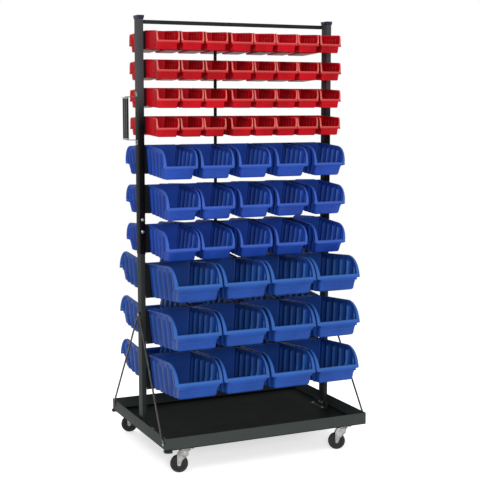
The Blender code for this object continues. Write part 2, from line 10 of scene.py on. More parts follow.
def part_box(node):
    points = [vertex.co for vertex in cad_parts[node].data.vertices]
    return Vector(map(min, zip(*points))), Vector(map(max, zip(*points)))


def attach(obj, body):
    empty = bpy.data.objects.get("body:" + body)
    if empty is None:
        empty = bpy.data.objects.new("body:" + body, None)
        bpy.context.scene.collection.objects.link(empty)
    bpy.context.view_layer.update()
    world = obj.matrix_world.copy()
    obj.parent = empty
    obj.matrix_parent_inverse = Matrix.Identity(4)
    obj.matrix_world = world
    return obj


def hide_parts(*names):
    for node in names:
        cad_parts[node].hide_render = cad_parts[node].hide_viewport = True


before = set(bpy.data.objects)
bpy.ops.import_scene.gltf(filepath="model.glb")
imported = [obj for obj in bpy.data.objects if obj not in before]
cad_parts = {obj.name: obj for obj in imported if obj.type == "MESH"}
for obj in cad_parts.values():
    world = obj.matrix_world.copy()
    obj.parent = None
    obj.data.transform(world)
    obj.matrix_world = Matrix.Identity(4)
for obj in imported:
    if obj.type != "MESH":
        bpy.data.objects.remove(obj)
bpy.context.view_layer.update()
centreX = (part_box("upright_left_lower")[0].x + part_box("upright_right_lower")[1].x) / 2
print("frame loaded:", len(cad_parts), "nodes")


# Colours, nodes and finishes

def linearColour(hexText):
    parts = [int(hexText[i:i + 2], 16) / 255 for i in (1, 3, 5)]
    return tuple(p / 12.92 if p <= 0.04045 else ((p + 0.055) / 1.055) ** 2.4 for p in parts) + (1.0,)


def addNode(tree, kind, settings=None, links=None):
    node = tree.nodes.new("ShaderNode" + kind)
    for key, value in (settings or {}).items():
        if key == "stops":  # colour ramp: (position, hex) pairs
            ramp = node.color_ramp.elements
            while len(ramp) < len(value):
                ramp.new(0.5)
            for stop, (position, colour) in zip(ramp, value):
                stop.position = position
                stop.color = linearColour(colour)
        elif isinstance(key, str) and hasattr(node, key):
            setattr(node, key, value)
        else:
            node.inputs[key].default_value = value
    for key, source in (links or {}).items():
        tree.links.new(source, node.inputs[key])
    return node


# A new material with a Principled shader, and its object coordinates through a Mapping node
def startFinish(name, settings, stretch=(1, 1, 1)):
    finish = bpy.data.materials.new(name)
    finish.use_nodes = True
    tree = finish.node_tree
    tree.nodes.clear()
    shader = addNode(tree, "BsdfPrincipled", settings)
    addNode(tree, "OutputMaterial", links={"Surface": shader.outputs["BSDF"]})
    where = addNode(tree, "TexCoord")
    place = addNode(tree, "Mapping", {"Scale": stretch}, {"Vector": where.outputs["Object"]})
    return finish, tree, shader, place.outputs["Vector"]


# Injection-moulded polypropylene: glossy skin, faint flow marks, edges paler from rubbing and as a painted highlight,
# painted highlights on lips and rims, and painted shade between the ribs
def mouldedPolypropylene(name, body, deep, shade, wearAndHighlight, paintedHighlightColour, specular):
    finish, tree, shader, place = startFinish(name, {
        "IOR": 1.49, "Metallic": 0.0, "Specular IOR Level": specular})
    flow = addNode(tree, "TexNoise", {"Scale": 9.0, "Detail": 3.0, "Roughness": 0.55}, {"Vector": place})  # 110 mm flow marks
    tint = addNode(tree, "ValToRGB", {"stops": ((0.30, deep), (0.62, body))}, {"Fac": flow.outputs["Fac"]})
    bevelled = addNode(tree, "Bevel", {"samples": 4, "Radius": 0.0014})
    facing = addNode(tree, "NewGeometry")
    turned = addNode(tree, "VectorMath", {"operation": "DOT_PRODUCT"},
                     {0: bevelled.outputs["Normal"], 1: facing.outputs["Normal"]})
    edge = addNode(tree, "MapRange", {"From Min": 0.99, "From Max": 0.80, "To Min": 0.0, "To Max": 0.45},
                   {"Value": turned.outputs["Value"]})
    scuff = addNode(tree, "TexNoise", {"Scale": 160.0, "Detail": 2.0}, {"Vector": place})  # 6 mm rub marks
    grooves = addNode(tree, "Attribute", {"attribute_name": "grooved"})  # painted shade between the ribs
    raised = addNode(tree, "MapRange", {"To Min": 1.0, "To Max": 0.0}, {"Value": grooves.outputs["Fac"]})
    # edges paler from rubbing and as a painted edge highlight, kept out of the painted shade between the ribs
    scuffed = addNode(tree, "Math", {"operation": "MULTIPLY"}, {0: edge.outputs["Result"], 1: scuff.outputs["Fac"]})
    wornAndHighlit = addNode(tree, "Math", {"operation": "MULTIPLY"}, {0: scuffed.outputs["Value"], 1: raised.outputs["Result"]})
    shaded = addNode(tree, "Mix", {"data_type": "RGBA", 7: linearColour(shade)},
                     {0: grooves.outputs["Fac"], 6: tint.outputs["Color"]})
    lips = addNode(tree, "Attribute", {"attribute_name": "handled"})  # painted highlight on lips, rims and the bumps inside a bin
    handled = addNode(tree, "Math", {"operation": "POWER", 1: 2.0}, {0: lips.outputs["Fac"]})
    handled = addNode(tree, "Mix", {"data_type": "RGBA", 7: linearColour(paintedHighlightColour)},
                      {0: handled.outputs["Value"], 6: shaded.outputs[2]})
    colour = addNode(tree, "Mix", {"data_type": "RGBA", 7: linearColour(wearAndHighlight)},
                     {0: wornAndHighlit.outputs["Value"], 6: handled.outputs[2]})
    tree.links.new(colour.outputs[2], shader.inputs["Base Color"])
    gloss = addNode(tree, "MapRange", {"To Min": 0.27, "To Max": 0.42}, {"Value": scuff.outputs["Fac"]})
    tree.links.new(gloss.outputs["Result"], shader.inputs["Roughness"])
    grain = addNode(tree, "TexNoise", {"Scale": 900.0, "Detail": 1.0}, {"Vector": place})  # 1.1 mm mould grain
    skin = addNode(tree, "Bump", {"Strength": 0.10, "Distance": 0.0003}, {"Height": grain.outputs["Fac"]})
    tree.links.new(skin.outputs["Normal"], shader.inputs["Normal"])
    return finish


# Powder-coated steel: fine orange peel, dust in the recesses of the film, edges paler from rubbing and as a painted
# highlight, and painted light that changes with height where asked
def powderCoat(name, body, dusty, wearAndHighlight, smooth, rough, specular, film=None):
    finish, tree, shader, place = startFinish(name, {
        "IOR": 1.5, "Metallic": 0.0, "Specular IOR Level": specular})
    cloud = addNode(tree, "TexNoise", {"Scale": 14.0, "Detail": 5.0, "Roughness": 0.6}, {"Vector": place})  # 70 mm clouds
    tint = addNode(tree, "ValToRGB", {"stops": ((0.35, body), (0.75, dusty))}, {"Fac": cloud.outputs["Fac"]})
    bevelled = addNode(tree, "Bevel", {"samples": 4, "Radius": 0.0012})
    facing = addNode(tree, "NewGeometry")
    turned = addNode(tree, "VectorMath", {"operation": "DOT_PRODUCT"},
                     {0: bevelled.outputs["Normal"], 1: facing.outputs["Normal"]})
    edge = addNode(tree, "MapRange", {"From Min": 0.985, "From Max": 0.78, "To Min": 0.0, "To Max": 0.8},
                   {"Value": turned.outputs["Value"]})
    if film:  # painted light and shade: a paler tone that grows from one height to another
        height = addNode(tree, "SeparateXYZ", links={"Vector": place})
        settled = addNode(tree, "MapRange", {"From Min": film["from"], "From Max": film["to"], "To Max": film["most"],
                                             "interpolation_type": "SMOOTHSTEP"}, {"Value": height.outputs["Z"]})
        tint = addNode(tree, "Mix", {"data_type": "RGBA", 7: linearColour(film["colour"])},
                       {0: settled.outputs["Result"], 6: tint.outputs["Color"]})
        tint = addNode(tree, "Gamma", links={"Color": tint.outputs[2]})
    chips = addNode(tree, "TexNoise", {"Scale": 120.0, "Detail": 4.0}, {"Vector": place})  # 8 mm rub patches
    # edges paler from rubbing and as a painted edge highlight
    wornAndHighlit = addNode(tree, "Math", {"operation": "MULTIPLY"}, {0: edge.outputs["Result"], 1: chips.outputs["Fac"]})
    colour = addNode(tree, "Mix", {"data_type": "RGBA", 7: linearColour(wearAndHighlight)},
                     {0: wornAndHighlit.outputs["Value"], 6: tint.outputs["Color"]})
    tree.links.new(colour.outputs[2], shader.inputs["Base Color"])
    gloss = addNode(tree, "MapRange", {"To Min": smooth, "To Max": rough}, {"Value": cloud.outputs["Fac"]})
    tree.links.new(gloss.outputs["Result"], shader.inputs["Roughness"])
    peel = addNode(tree, "TexNoise", {"Scale": 650.0, "Detail": 1.5}, {"Vector": place})  # 1.5 mm orange peel
    film = addNode(tree, "Bump", {"Strength": 0.16, "Distance": 0.0003}, {"Height": peel.outputs["Fac"]})
    tree.links.new(film.outputs["Normal"], shader.inputs["Normal"])
    return finish


# Bright zinc plate on mild steel: cool grey with a faint warm haze and fine drawn lines
def zincPlate(name, bright, hazy):
    finish, tree, shader, place = startFinish(name, {"Metallic": 1.0})
    haze = addNode(tree, "TexNoise", {"Scale": 45.0, "Detail": 4.0, "Roughness": 0.6}, {"Vector": place})  # 22 mm haze
    tint = addNode(tree, "ValToRGB", {"stops": ((0.38, hazy), (0.64, bright))}, {"Fac": haze.outputs["Fac"]})
    tree.links.new(tint.outputs["Color"], shader.inputs["Base Color"])
    gloss = addNode(tree, "MapRange", {"To Min": 0.22, "To Max": 0.46}, {"Value": haze.outputs["Fac"]})
    tree.links.new(gloss.outputs["Result"], shader.inputs["Roughness"])
    drawn = addNode(tree, "TexNoise", {"Scale": 700.0, "Detail": 1.0}, {"Vector": place})  # 1.4 mm rolling marks
    marks = addNode(tree, "Bump", {"Strength": 0.08, "Distance": 0.0002}, {"Height": drawn.outputs["Fac"]})
    tree.links.new(marks.outputs["Normal"], shader.inputs["Normal"])
    return finish


# Vulcanised rubber: matt, speckled with floor dust on the tread
def wheelRubber(name, body, dusty):
    finish, tree, shader, place = startFinish(name, {"IOR": 1.52, "Metallic": 0.0, "Specular IOR Level": 0.35})
    dust = addNode(tree, "TexNoise", {"Scale": 260.0, "Detail": 5.0, "Roughness": 0.7}, {"Vector": place})  # 4 mm dust specks
    tint = addNode(tree, "ValToRGB", {"stops": ((0.42, body), (0.66, dusty))}, {"Fac": dust.outputs["Fac"]})
    tree.links.new(tint.outputs["Color"], shader.inputs["Base Color"])
    gloss = addNode(tree, "MapRange", {"To Min": 0.62, "To Max": 0.88}, {"Value": dust.outputs["Fac"]})
    tree.links.new(gloss.outputs["Result"], shader.inputs["Roughness"])
    pits = addNode(tree, "TexNoise", {"Scale": 900.0, "Detail": 2.0}, {"Vector": place})  # 1.1 mm pits
    skin = addNode(tree, "Bump", {"Strength": 0.35, "Distance": 0.0004}, {"Height": pits.outputs["Fac"]})
    tree.links.new(skin.outputs["Normal"], shader.inputs["Normal"])
    return finish


# Moulded plastic trim: satin, with a fine spark-eroded grain
def satinPlastic(name, body, pale, smooth, rough, ridges=None):
    finish, tree, shader, place = startFinish(name, {"IOR": 1.46, "Metallic": 0.0})
    shade = addNode(tree, "TexNoise", {"Scale": 30.0, "Detail": 3.0}, {"Vector": place})  # 33 mm shading
    tint = addNode(tree, "ValToRGB", {"stops": ((0.35, body), (0.72, pale))}, {"Fac": shade.outputs["Fac"]})
    tree.links.new(tint.outputs["Color"], shader.inputs["Base Color"])
    if ridges:  # painted highlight and wear on the flute ridges: paler with the distance from an upright axis
        fromAxis = addNode(tree, "VectorMath", {"operation": "SUBTRACT", 1: (ridges["x"], 0, 0)}, {0: place})
        level = addNode(tree, "VectorMath", {"operation": "MULTIPLY", 1: (1, 1, 0)}, {0: fromAxis.outputs["Vector"]})
        reach = addNode(tree, "VectorMath", {"operation": "LENGTH"}, {0: level.outputs["Vector"]})
        wearAndHighlight = addNode(tree, "MapRange", {"From Min": ridges["from"], "From Max": ridges["to"]},
                         {"Value": reach.outputs["Value"]})
        colour = addNode(tree, "Mix", {"data_type": "RGBA", 7: linearColour(ridges["colour"])},
                         {0: wearAndHighlight.outputs["Result"], 6: tint.outputs["Color"]})
        tree.links.new(colour.outputs[2], shader.inputs["Base Color"])
    gloss = addNode(tree, "MapRange", {"To Min": smooth, "To Max": rough}, {"Value": shade.outputs["Fac"]})
    tree.links.new(gloss.outputs["Result"], shader.inputs["Roughness"])
    grain = addNode(tree, "TexVoronoi", {"Scale": 900.0}, {"Vector": place})  # 1.1 mm spark grain
    skin = addNode(tree, "Bump", {"Strength": 0.12, "Distance": 0.0002}, {"Height": grain.outputs["Distance"]})
    tree.links.new(skin.outputs["Normal"], shader.inputs["Normal"])
    return finish


# per colour: body, deep flow tone, painted shade between the ribs, edges rubbed and painted with a highlight, painted
# highlight on lips and rims, specular level
redPolypropylene = mouldedPolypropylene("moulded red polypropylene", "#c0041a", "#a00410", "#7a0206", "#f0968c", "#e0746a", 0.12)
bluePolypropylene = mouldedPolypropylene("moulded blue polypropylene", "#2147a4", "#1c3d93", "#0c1e5c", "#86a4ee", "#6488e0", 0.13)
deepBluePolypropylene = mouldedPolypropylene("moulded deep blue polypropylene", "#1d4694", "#193c84", "#0c2454", "#7cb0f0", "#5a90dc", 0.13)
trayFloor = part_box("caster_plate_left_front")[1].z + 0.0023
# painted shade: the tray floor keeps a near-black tone, and from just above it the lips are painted paler
trayPowderCoat = powderCoat("dark grey tray coat", "#050908", "#0a0e0d", "#8f9490", 0.50, 0.66, 0.05,
                            {"from": trayFloor + 0.0005, "to": trayFloor + 0.003, "most": 0.95, "colour": "#3a3f3d"})
greyPowderCoat = powderCoat("dark grey powder coat", "#1e2322", "#272c2b", "#8f9490", 0.46, 0.62, 0.16)
# painted sheen: the upper posts are painted paler towards their tops
blackPowderCoat = powderCoat("black powder coat", "#050508", "#0a0a0d", "#a0a6a8", 0.30, 0.46, 0.05,
                             {"from": 1.42, "to": 1.60, "most": 0.9, "colour": "#48484b"})
railBlackPaint = powderCoat("matt black rail paint", "#08080b", "#101014", "#48484c", 0.45, 0.60, 0.15)
brightZinc = zincPlate("bright zinc plate", "#acadac", "#82817c")
# the brace rods' zinc is darkened as painted shade
shadedZinc = zincPlate("zinc plate with painted shade", "#5e5c57", "#44423f")
darkRubber = wheelRubber("vulcanised dark rubber", "#101010", "#2e2c2a")
capPlastic = satinPlastic("navy black cap plastic", "#060f24", "#0e1c3c", 0.30, 0.45)
gripAxis = (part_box("handle_grip")[0].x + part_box("handle_grip")[1].x) / 2
# the grip's flute ridges get a painted highlight
gripPlastic = satinPlastic("soft-touch grip plastic", "#161618", "#202022", 0.50, 0.65,
                           {"x": gripAxis, "from": 0.0126, "to": 0.0135, "colour": "#a8a8aa"})
print("materials ready")


# Steps that several pieces share

# An outline of (a, b) points drawn out along one axis: x takes (y, z), y takes (x, z), z takes (x, y)
def drawOut(shape, outline, axis, start, end):
    def put(a, b, c):
        return {"x": (c, a, b), "y": (a, c, b), "z": (a, b, c)}[axis]
    face = shape.faces.new([shape.verts.new(put(a, b, start)) for a, b in outline])
    made = bmesh.ops.extrude_face_region(shape, geom=[face])
    top = [g for g in made["geom"] if isinstance(g, bmesh.types.BMVert)]
    bmesh.ops.translate(shape, verts=top, vec=Vector(put(0, 0, end - start)))
    return list(face.verts) + top


def roundEdges(shape, edges, width, steps=2):
    edges = list(edges)
    if edges:
        bmesh.ops.bevel(shape, geom=edges, offset=width, offset_type="OFFSET", segments=steps,
                        profile=0.5, affect="EDGES", clamp_overlap=True, material=-1)


def sharpEdges(shape, degrees=40):
    shape.normal_update()
    return [e for e in shape.edges if len(e.link_faces) == 2 and e.calc_face_angle(0) > math.radians(degrees)]


# A slab given by its two corners, with every edge rounded
def addSlab(shape, low, high, rounding=0.0, steps=2):
    size = Vector(high) - Vector(low)
    made = bmesh.ops.create_cube(shape, size=1.0)
    bmesh.ops.scale(shape, verts=made["verts"], vec=size)
    bmesh.ops.translate(shape, verts=made["verts"], vec=(Vector(high) + Vector(low)) / 2)
    if rounding:
        roundEdges(shape, {e for v in made["verts"] for e in v.link_edges}, rounding, steps)


# A closed turned body from (radius, height) points, standing on its axis along +Z
def addTurned(shape, profile, sides=32):
    points = [shape.verts.new((radius, 0, height)) for radius, height in profile]
    edges = [shape.edges.new(pair) for pair in zip(points, points[1:])]
    made = bmesh.ops.spin(shape, geom=points + edges, cent=(0, 0, 0), axis=(0, 0, 1),
                          angle=2 * math.pi, steps=sides, use_merge=True)
    bmesh.ops.remove_doubles(shape, verts=shape.verts, dist=0.00001)
    return made


def movedInto(shape, extra, matrix):
    spare = bpy.data.meshes.new("spare")
    bmesh.ops.remove_doubles(extra, verts=extra.verts, dist=0.00001)
    bmesh.ops.recalc_face_normals(extra, faces=extra.faces)
    bmesh.ops.transform(extra, matrix=matrix, verts=extra.verts)
    extra.to_mesh(spare)
    extra.free()
    shape.from_mesh(spare)
    bpy.data.meshes.remove(spare)


# Direction for a small part that was built standing on +Z
def facingTo(direction, at):
    return Matrix.Translation(Vector(at)) @ Vector(direction).to_track_quat("Z", "Y").to_matrix().to_4x4()


def finishPiece(name, shape, surface, body, replaced=(), crease=40, recalculated=True):
    if recalculated:
        bmesh.ops.remove_doubles(shape, verts=shape.verts, dist=0.00001)
        bmesh.ops.recalc_face_normals(shape, faces=shape.faces)
    mesh = bpy.data.meshes.new(name)
    shape.to_mesh(mesh)
    shape.free()
    mesh.materials.append(surface)
    mesh.shade_smooth()
    mesh.set_sharp_from_angle(angle=math.radians(crease))
    piece = bpy.data.objects.new(name, mesh)
    bpy.context.scene.collection.objects.link(piece)
    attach(piece, body)
    if replaced:
        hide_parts(*replaced)
    return piece


# Bins

# Each size also sets its painted highlight on lips and rims and its painted shade between the ribs
smallBin = {
    "name": "small", "surface": redPolypropylene, "slot": "red_plastic", "levels": 4, "count": 8,
    "pitch": 0.1068, "rowShift": -0.0037, "strays": (-0.061,) * 3 + (0.061,) * 5, "tilt": 3.0, "railHalfDepth": 0.015,
    "length": 0.165, "height": 0.0775, "topWidth": 0.095, "bottomWidth": 0.084, "lipWidth": 0.101,
    "lipTop": 0.0395, "band": 0.012, "ear": 0.012, "lipThickness": 0.005, "overhang": 0.009,
    "setback": 0.012, "curveShare": 0.89, "squareness": 2.0, "wall": 0.0018, "rim": 0.0028, "rimFold": 0.0030,
    "ribs": 5, "ribColumns": 4, "ribDepth": 0.0042, "ribStart": 0.014, "ribEnd": 0.150, "ribTop": 0.009, "headRound": 0.006,
    "frontRound": 0.006, "backRound": 0.004, "floorRound": 0.005, "stepDrop": 0.007, "stepDepth": 0.0012,
    "lipLean": 0.004, "handled": 1.0, "paintedRimHighlight": 0.9, "grooved": 0.5, "mouthSwell": 0.0027, "flare": (0.80, 0.90),
    # how far each bin of the front rows is pushed along its rail, away from an even row
    "pushed": ((0.001, 0.003, 0.005, 0.002, 0.001, 0.0, -0.002, 0.001), (0.001, 0.003, 0.005, 0.004, 0.004, 0.002, -0.001, 0.003),
               (0.001, 0.001, 0.0, 0.004, 0.004, 0.001, -0.002, 0.003), (-0.003, -0.001, -0.003, 0.002, 0.003, 0.0, -0.003, 0.002)),
}
mediumBin = {
    "name": "medium", "surface": bluePolypropylene, "slot": "blue_plastic", "levels": 3, "count": 5,
    "pitch": 0.1732, "rowShift": -0.009, "strays": (0.0225, -0.0485, -0.0277, -0.0410, 0.0098), "tilt": 3.5, "railHalfDepth": 0.015,
    "length": 0.244, "height": 0.125, "topWidth": 0.1482, "bottomWidth": 0.120, "lipWidth": 0.150,
    "lipTop": 0.0585, "band": 0.013, "ear": 0.010, "lipThickness": 0.005, "overhang": 0.015,
    "setback": 0.030, "curveShare": 0.69, "squareness": 2.4, "wall": 0.0022, "rim": 0.0034, "rimFold": 0.0040,
    "ribs": 5, "ribColumns": 6, "ribDepth": 0.0085, "ribStart": 0.008, "ribEnd": 0.226, "ribTop": 0.009, "headRound": 0.009,
    "frontRound": 0.008, "backRound": 0.006, "floorRound": 0.008, "stepDrop": 0.010, "stepDepth": 0.0022,
    "lipLean": 0.003, "handled": 0.8, "paintedRimHighlight": 0.5, "grooved": 1.0, "mouthSwell": 0.0010, "flare": (0.80, 1.00),
    "pushed": ((-0.0085, -0.0045, -0.009, -0.003, -0.003), (0.0028, -0.001, -0.0034, 0.0, 0.0), (0.0, -0.003, -0.002, -0.0035, 0.004)),
}
largeBin = {
    "name": "large", "surface": deepBluePolypropylene, "slot": "deep_blue_plastic", "levels": 3, "count": 4,
    "pitch": 0.2187, "rowShift": 0.0, "strays": (0, 0, 0, 0), "tilt": -4.6, "railHalfDepth": 0.012,
    "length": 0.339, "height": 0.148, "topWidth": 0.206, "bottomWidth": 0.170, "lipWidth": 0.210,
    "lipTop": 0.070, "band": 0.025, "ear": 0.014, "lipThickness": 0.006, "overhang": 0.014,
    "setback": 0.026, "curveShare": 0.72, "squareness": 2.0, "wall": 0.0026, "rim": 0.0050, "rimFold": 0.0050,
    "ribs": 5, "ribColumns": 6, "ribDepth": 0.0110, "ribStart": 0.014, "ribEnd": 0.312, "ribTop": 0.012, "headRound": 0.011,
    "frontRound": 0.010, "backRound": 0.007, "floorRound": 0.010, "stepDrop": 0.012, "stepDepth": 0.0026,
    "lipLean": 0.004, "handled": 0.7, "paintedRimHighlight": 0.5, "grooved": 1.0, "mouthSwell": 0.0020, "flare": (0.78, 1.00),
    "pushed": ((0.0035, 0.0035, 0.003, 0.001), (-0.0005, -0.0005, 0.004, 0.004), (0.003, 0.001, 0.004, 0.002)),
}
hookThickness = 0.0015
rimRise = 0.0023
clearance = 0.0003
ribSink = 0.45  # share of a rib's depth that lies inside the plain wall
ribFade = 0.005
tightRound = 0.0012
insideHighlight = 1.0  # how strong the painted highlight on the bumps inside a bin is
cornerSteps, curveSteps, floorSteps = 3, 9, 3


def flareAt(size, reach):  # how far the walls have opened out towards the mouth
    start, end = size["flare"]
    share = min(1.0, max(0.0, (reach / size["length"] - start) / (end - start)))
    return share * share * (3 - 2 * share)


# One bin in its own axes: back wall at y = 0, the front at y = -length, z = 0 at the rail's top edge
def buildBin(size):
    wall = size["wall"]
    top = rimRise - clearance
    bottom = rimRise - size["height"]
    lip = bottom + size["lipTop"]
    bandFoot = lip - size["band"]
    stepFoot = bandFoot - size["stepDrop"]
    ledge = bandFoot + clearance  # just above the foot of the lip's band the front wall steps forward
    curveStart = size["curveShare"] * size["length"]
    curveEnd = size["length"] - size["lipThickness"] - wall
    curveLow = lip - size["band"] / 2
    topHalf = size["topWidth"] / 2 - size["rim"]
    bottomHalf = size["bottomWidth"] / 2
    leanStart = size["length"] / 2  # the side walls' columns lean with the front wall from here on

    def frontAt(z):  # how far the front wall reaches at each height
        lean = size["length"] - size["setback"]
        lean += (size["setback"] - size["overhang"]) * min(1, (z - bottom) / (bandFoot - bottom))
        if z < stepFoot:
            return lean - size["stepDepth"]
        return lean if z < ledge else curveEnd + tightRound

    def rimAt(reach):  # height of the side wall's curved top edge
        along = min(1.0, max(0.0, (reach - curveStart) / (curveEnd - curveStart)))
        return max(lip, curveLow + (top - curveLow) * (1 - along ** size["squareness"]) ** (1 / size["squareness"]))

    def ribAt(reach, z):  # the side wall swells out on a rib and in between two ribs
        share = (reach - size["ribStart"]) / (size["ribEnd"] - size["ribStart"])
        if not 0 < share < 1:
            return 0
        swell = 0.5 - 0.5 * math.cos(2 * math.pi * size["ribs"] * share)
        head = rimAt(reach) - size["ribTop"] - size["headRound"] * (1 - swell) ** 2 - z
        return size["ribDepth"] * (swell - ribSink) * max(0.0, min(1.0, head / ribFade))

    # painted shade: how dark the outside of a side wall is painted between its ribs
    def paintedRibShadeAt(column, z):
        if column[0] != "side":
            return 0
        return size["grooved"] * max(0.0, -ribAt(column[1], z) / (size["ribDepth"] * ribSink))

    # columns of the wall from the middle of the back to the middle of the front
    ribSteps = size["ribs"] * size["ribColumns"]
    reaches = [size["ribStart"] + (size["ribEnd"] - size["ribStart"]) * i / ribSteps for i in range(ribSteps + 1)]
    for i in range(1, curveSteps + 1):
        reach = curveStart + (curveEnd - curveStart) * math.sin(math.pi / 2 * i / curveSteps)
        if min(abs(reach - other) for other in reaches) > tightRound:
            reaches.append(reach)
    turns = [math.pi / 2 * i / cornerSteps for i in range(cornerSteps + 1)]
    columns = [("back", turn) for turn in turns] + [("side", reach) for reach in sorted(reaches)]
    columns += [("corner", turn) for turn in turns] + [("front", share) for share in (0.66, 0.33, 0.0)]
    columns = [(kind, value, 1) for kind, value in columns]
    columns += [(kind, value, -1) for kind, value, way in reversed(columns[:-1])]

    def pointAt(column, z, inset):
        kind, value, way = column
        half = bottomHalf + (topHalf - bottomHalf) * (z - bottom) / (top - bottom) - inset
        front = frontAt(z) - inset
        frontRound = max(tightRound, (size["frontRound"] if z < ledge else 0) - inset)
        backRound = max(tightRound, size["backRound"] - inset)
        last = front - frontRound
        if kind == "back":
            x, reach = half - backRound * (1 - math.sin(value)), clearance + inset + backRound * (1 - math.cos(value))
        elif kind == "side":
            lean = (last - leanStart) / (curveEnd - leanStart)
            raised = min(1.0, max(0.0, (z - ledge) / (lip - ledge)))
            x = half + ribAt(value, z) * (1 - flareAt(size, value)) + size["mouthSwell"] * flareAt(size, value) * raised
            reach = value if value < leanStart else leanStart + (value - leanStart) * lean
        elif kind == "corner":
            x, reach = half - frontRound * (1 - math.cos(value)), last + frontRound * math.sin(value)
        else:
            x, reach = (half - frontRound) * value, front
        return (way * x, -reach, z)

    def topOf(column):
        return {"back": top, "side": rimAt(column[1])}.get(column[0], lip)

    # levels up to the lip are flat, and the ones above it follow the rim down to the lip
    levels = []
    for i in range(floorSteps + 1):
        turn = math.pi / 2 * i / floorSteps
        inset = size["floorRound"] * (1 - math.sin(turn))
        levels.append([(bottom + size["floorRound"] * (1 - math.cos(turn)), inset)] * len(columns))
    for z in (stepFoot - tightRound, stepFoot, bandFoot, ledge, lip):
        levels.append([(z, 0.0)] * len(columns))
    headFoot = size["ribTop"] + size["headRound"] + ribFade
    falls = [(headFoot, share) for share in (0.25, 0.5, 0.75, 1.0)] + [(0.0, 1.0)]
    falls[4:4] = [(size["ribTop"] + (headFoot - size["ribTop"]) * share, 1.0) for share in (0.8, 0.6, 0.4, 0.2, 0.0)]
    for fall, share in falls:
        levels.append([(lip + max(0.0, topOf(column) - fall - lip) * share, 0.0) for column in columns])

    shape = bmesh.new()
    shape.verts.layers.float.new("handled")
    grooved = shape.verts.layers.float.new("grooved")
    ring = [shape.verts.new(pointAt(column, *level)) for column, level in zip(columns, levels[0])]
    shape.faces.new(ring)
    for level in levels[1:]:
        edges = [shape.edges.get((a, b)) for a, b in zip(ring, ring[1:] + ring[:1])]
        made = bmesh.ops.extrude_edge_only(shape, edges=edges)
        fresh = {g for g in made["geom"] if isinstance(g, bmesh.types.BMVert)}
        ring = [next(e.other_vert(old) for e in old.link_edges if e.other_vert(old) in fresh) for old in ring]
        for vertex, column, (z, inset) in zip(ring, columns, level):
            vertex.co = pointAt(column, z, inset)
            vertex[grooved] = paintedRibShadeAt(column, z)
    bmesh.ops.remove_doubles(shape, verts=shape.verts, dist=0.00002)
    bmesh.ops.recalc_face_normals(shape, faces=shape.faces)
    if max(shape.faces, key=lambda f: f.calc_center_median().x).normal.x < 0:
        bmesh.ops.reverse_faces(shape, faces=shape.faces)
    rim = [e for e in shape.edges if e.is_boundary and all(v.co.y < -size["backRound"] / 2 for v in e.verts)
           and max(v.co.z for v in e.verts) > lip + clearance]
    addRim(shape, size, rim, (curveStart, curveEnd, curveLow, top), lip)
    return shape


# The wall's thickness, then a folded rim along its two sides: a strip laid on the edge and drawn back along the wall
def addRim(shape, size, edges, curve, lip):
    strip = bmesh.new()
    mark = strip.verts.layers.float.new("handled")
    copies = {}
    for edge in edges:
        for vertex in edge.verts:
            if vertex not in copies:
                inner = vertex.co - Vector((math.copysign(size["wall"], vertex.co.x), 0, -clearance))
                copies[vertex] = strip.verts.new(inner)
        strip.edges.new([copies[v] for v in edge.verts])
    outside = set(shape.verts)
    bmesh.ops.solidify(shape, geom=shape.faces[:], thickness=size["wall"])
    grooved = shape.verts.layers.float["grooved"]
    handled = shape.verts.layers.float["handled"]
    for vertex in shape.verts:
        if vertex not in outside:  # a groove outside is a bump inside: it gets a painted highlight and no painted shade
            vertex[handled] = max(vertex[handled], insideHighlight * vertex[grooved])
            vertex[grooved] = 0.0
    made = bmesh.ops.extrude_edge_only(strip, edges=strip.edges[:])
    for g in made["geom"]:
        if isinstance(g, bmesh.types.BMVert):
            edge = size["topWidth"] + (size["lipWidth"] - size["topWidth"]) * flareAt(size, -g.co.y)
            g.co.x = math.copysign(edge / 2, g.co.x)  # level with the lip's ends at the mouth
    along = [e for e in strip.edges if e.is_boundary and abs(e.verts[0].co.x - e.verts[1].co.x) < size["rim"] / 2]
    drawn = bmesh.ops.extrude_face_region(strip, geom=strip.faces[:])
    for g in drawn["geom"]:
        if isinstance(g, bmesh.types.BMVert):
            g.co += Vector(foldTurn(g, *curve)) * size["rimFold"]
    bmesh.ops.recalc_face_normals(strip, faces=strip.faces)
    roundEdges(strip, [e for e in along if e.is_valid], size["rim"] / 5, 2)
    # painted highlight on the rims, growing towards the front
    for vertex in strip.verts:
        vertex[mark] = size["paintedRimHighlight"] * min(1.0, max(0.0, (-vertex.co.y / size["length"] - 0.5) / 0.3))
    movedInto(shape, strip, Matrix.Identity(4))


# Which way the rim folds back at a point of it: down on the straight, inwards along the curve
def foldTurn(vertex, curveStart, curveEnd, curveLow, top):
    reach = -vertex.co.y
    if reach <= curveStart:
        return (0, 0, -1)
    across = (reach - curveStart) / (curveEnd - curveStart) ** 2
    up = max(0.0, vertex.co.z - curveLow) / (top - curveLow) ** 2
    return -Vector((0, -across, up)).normalized()


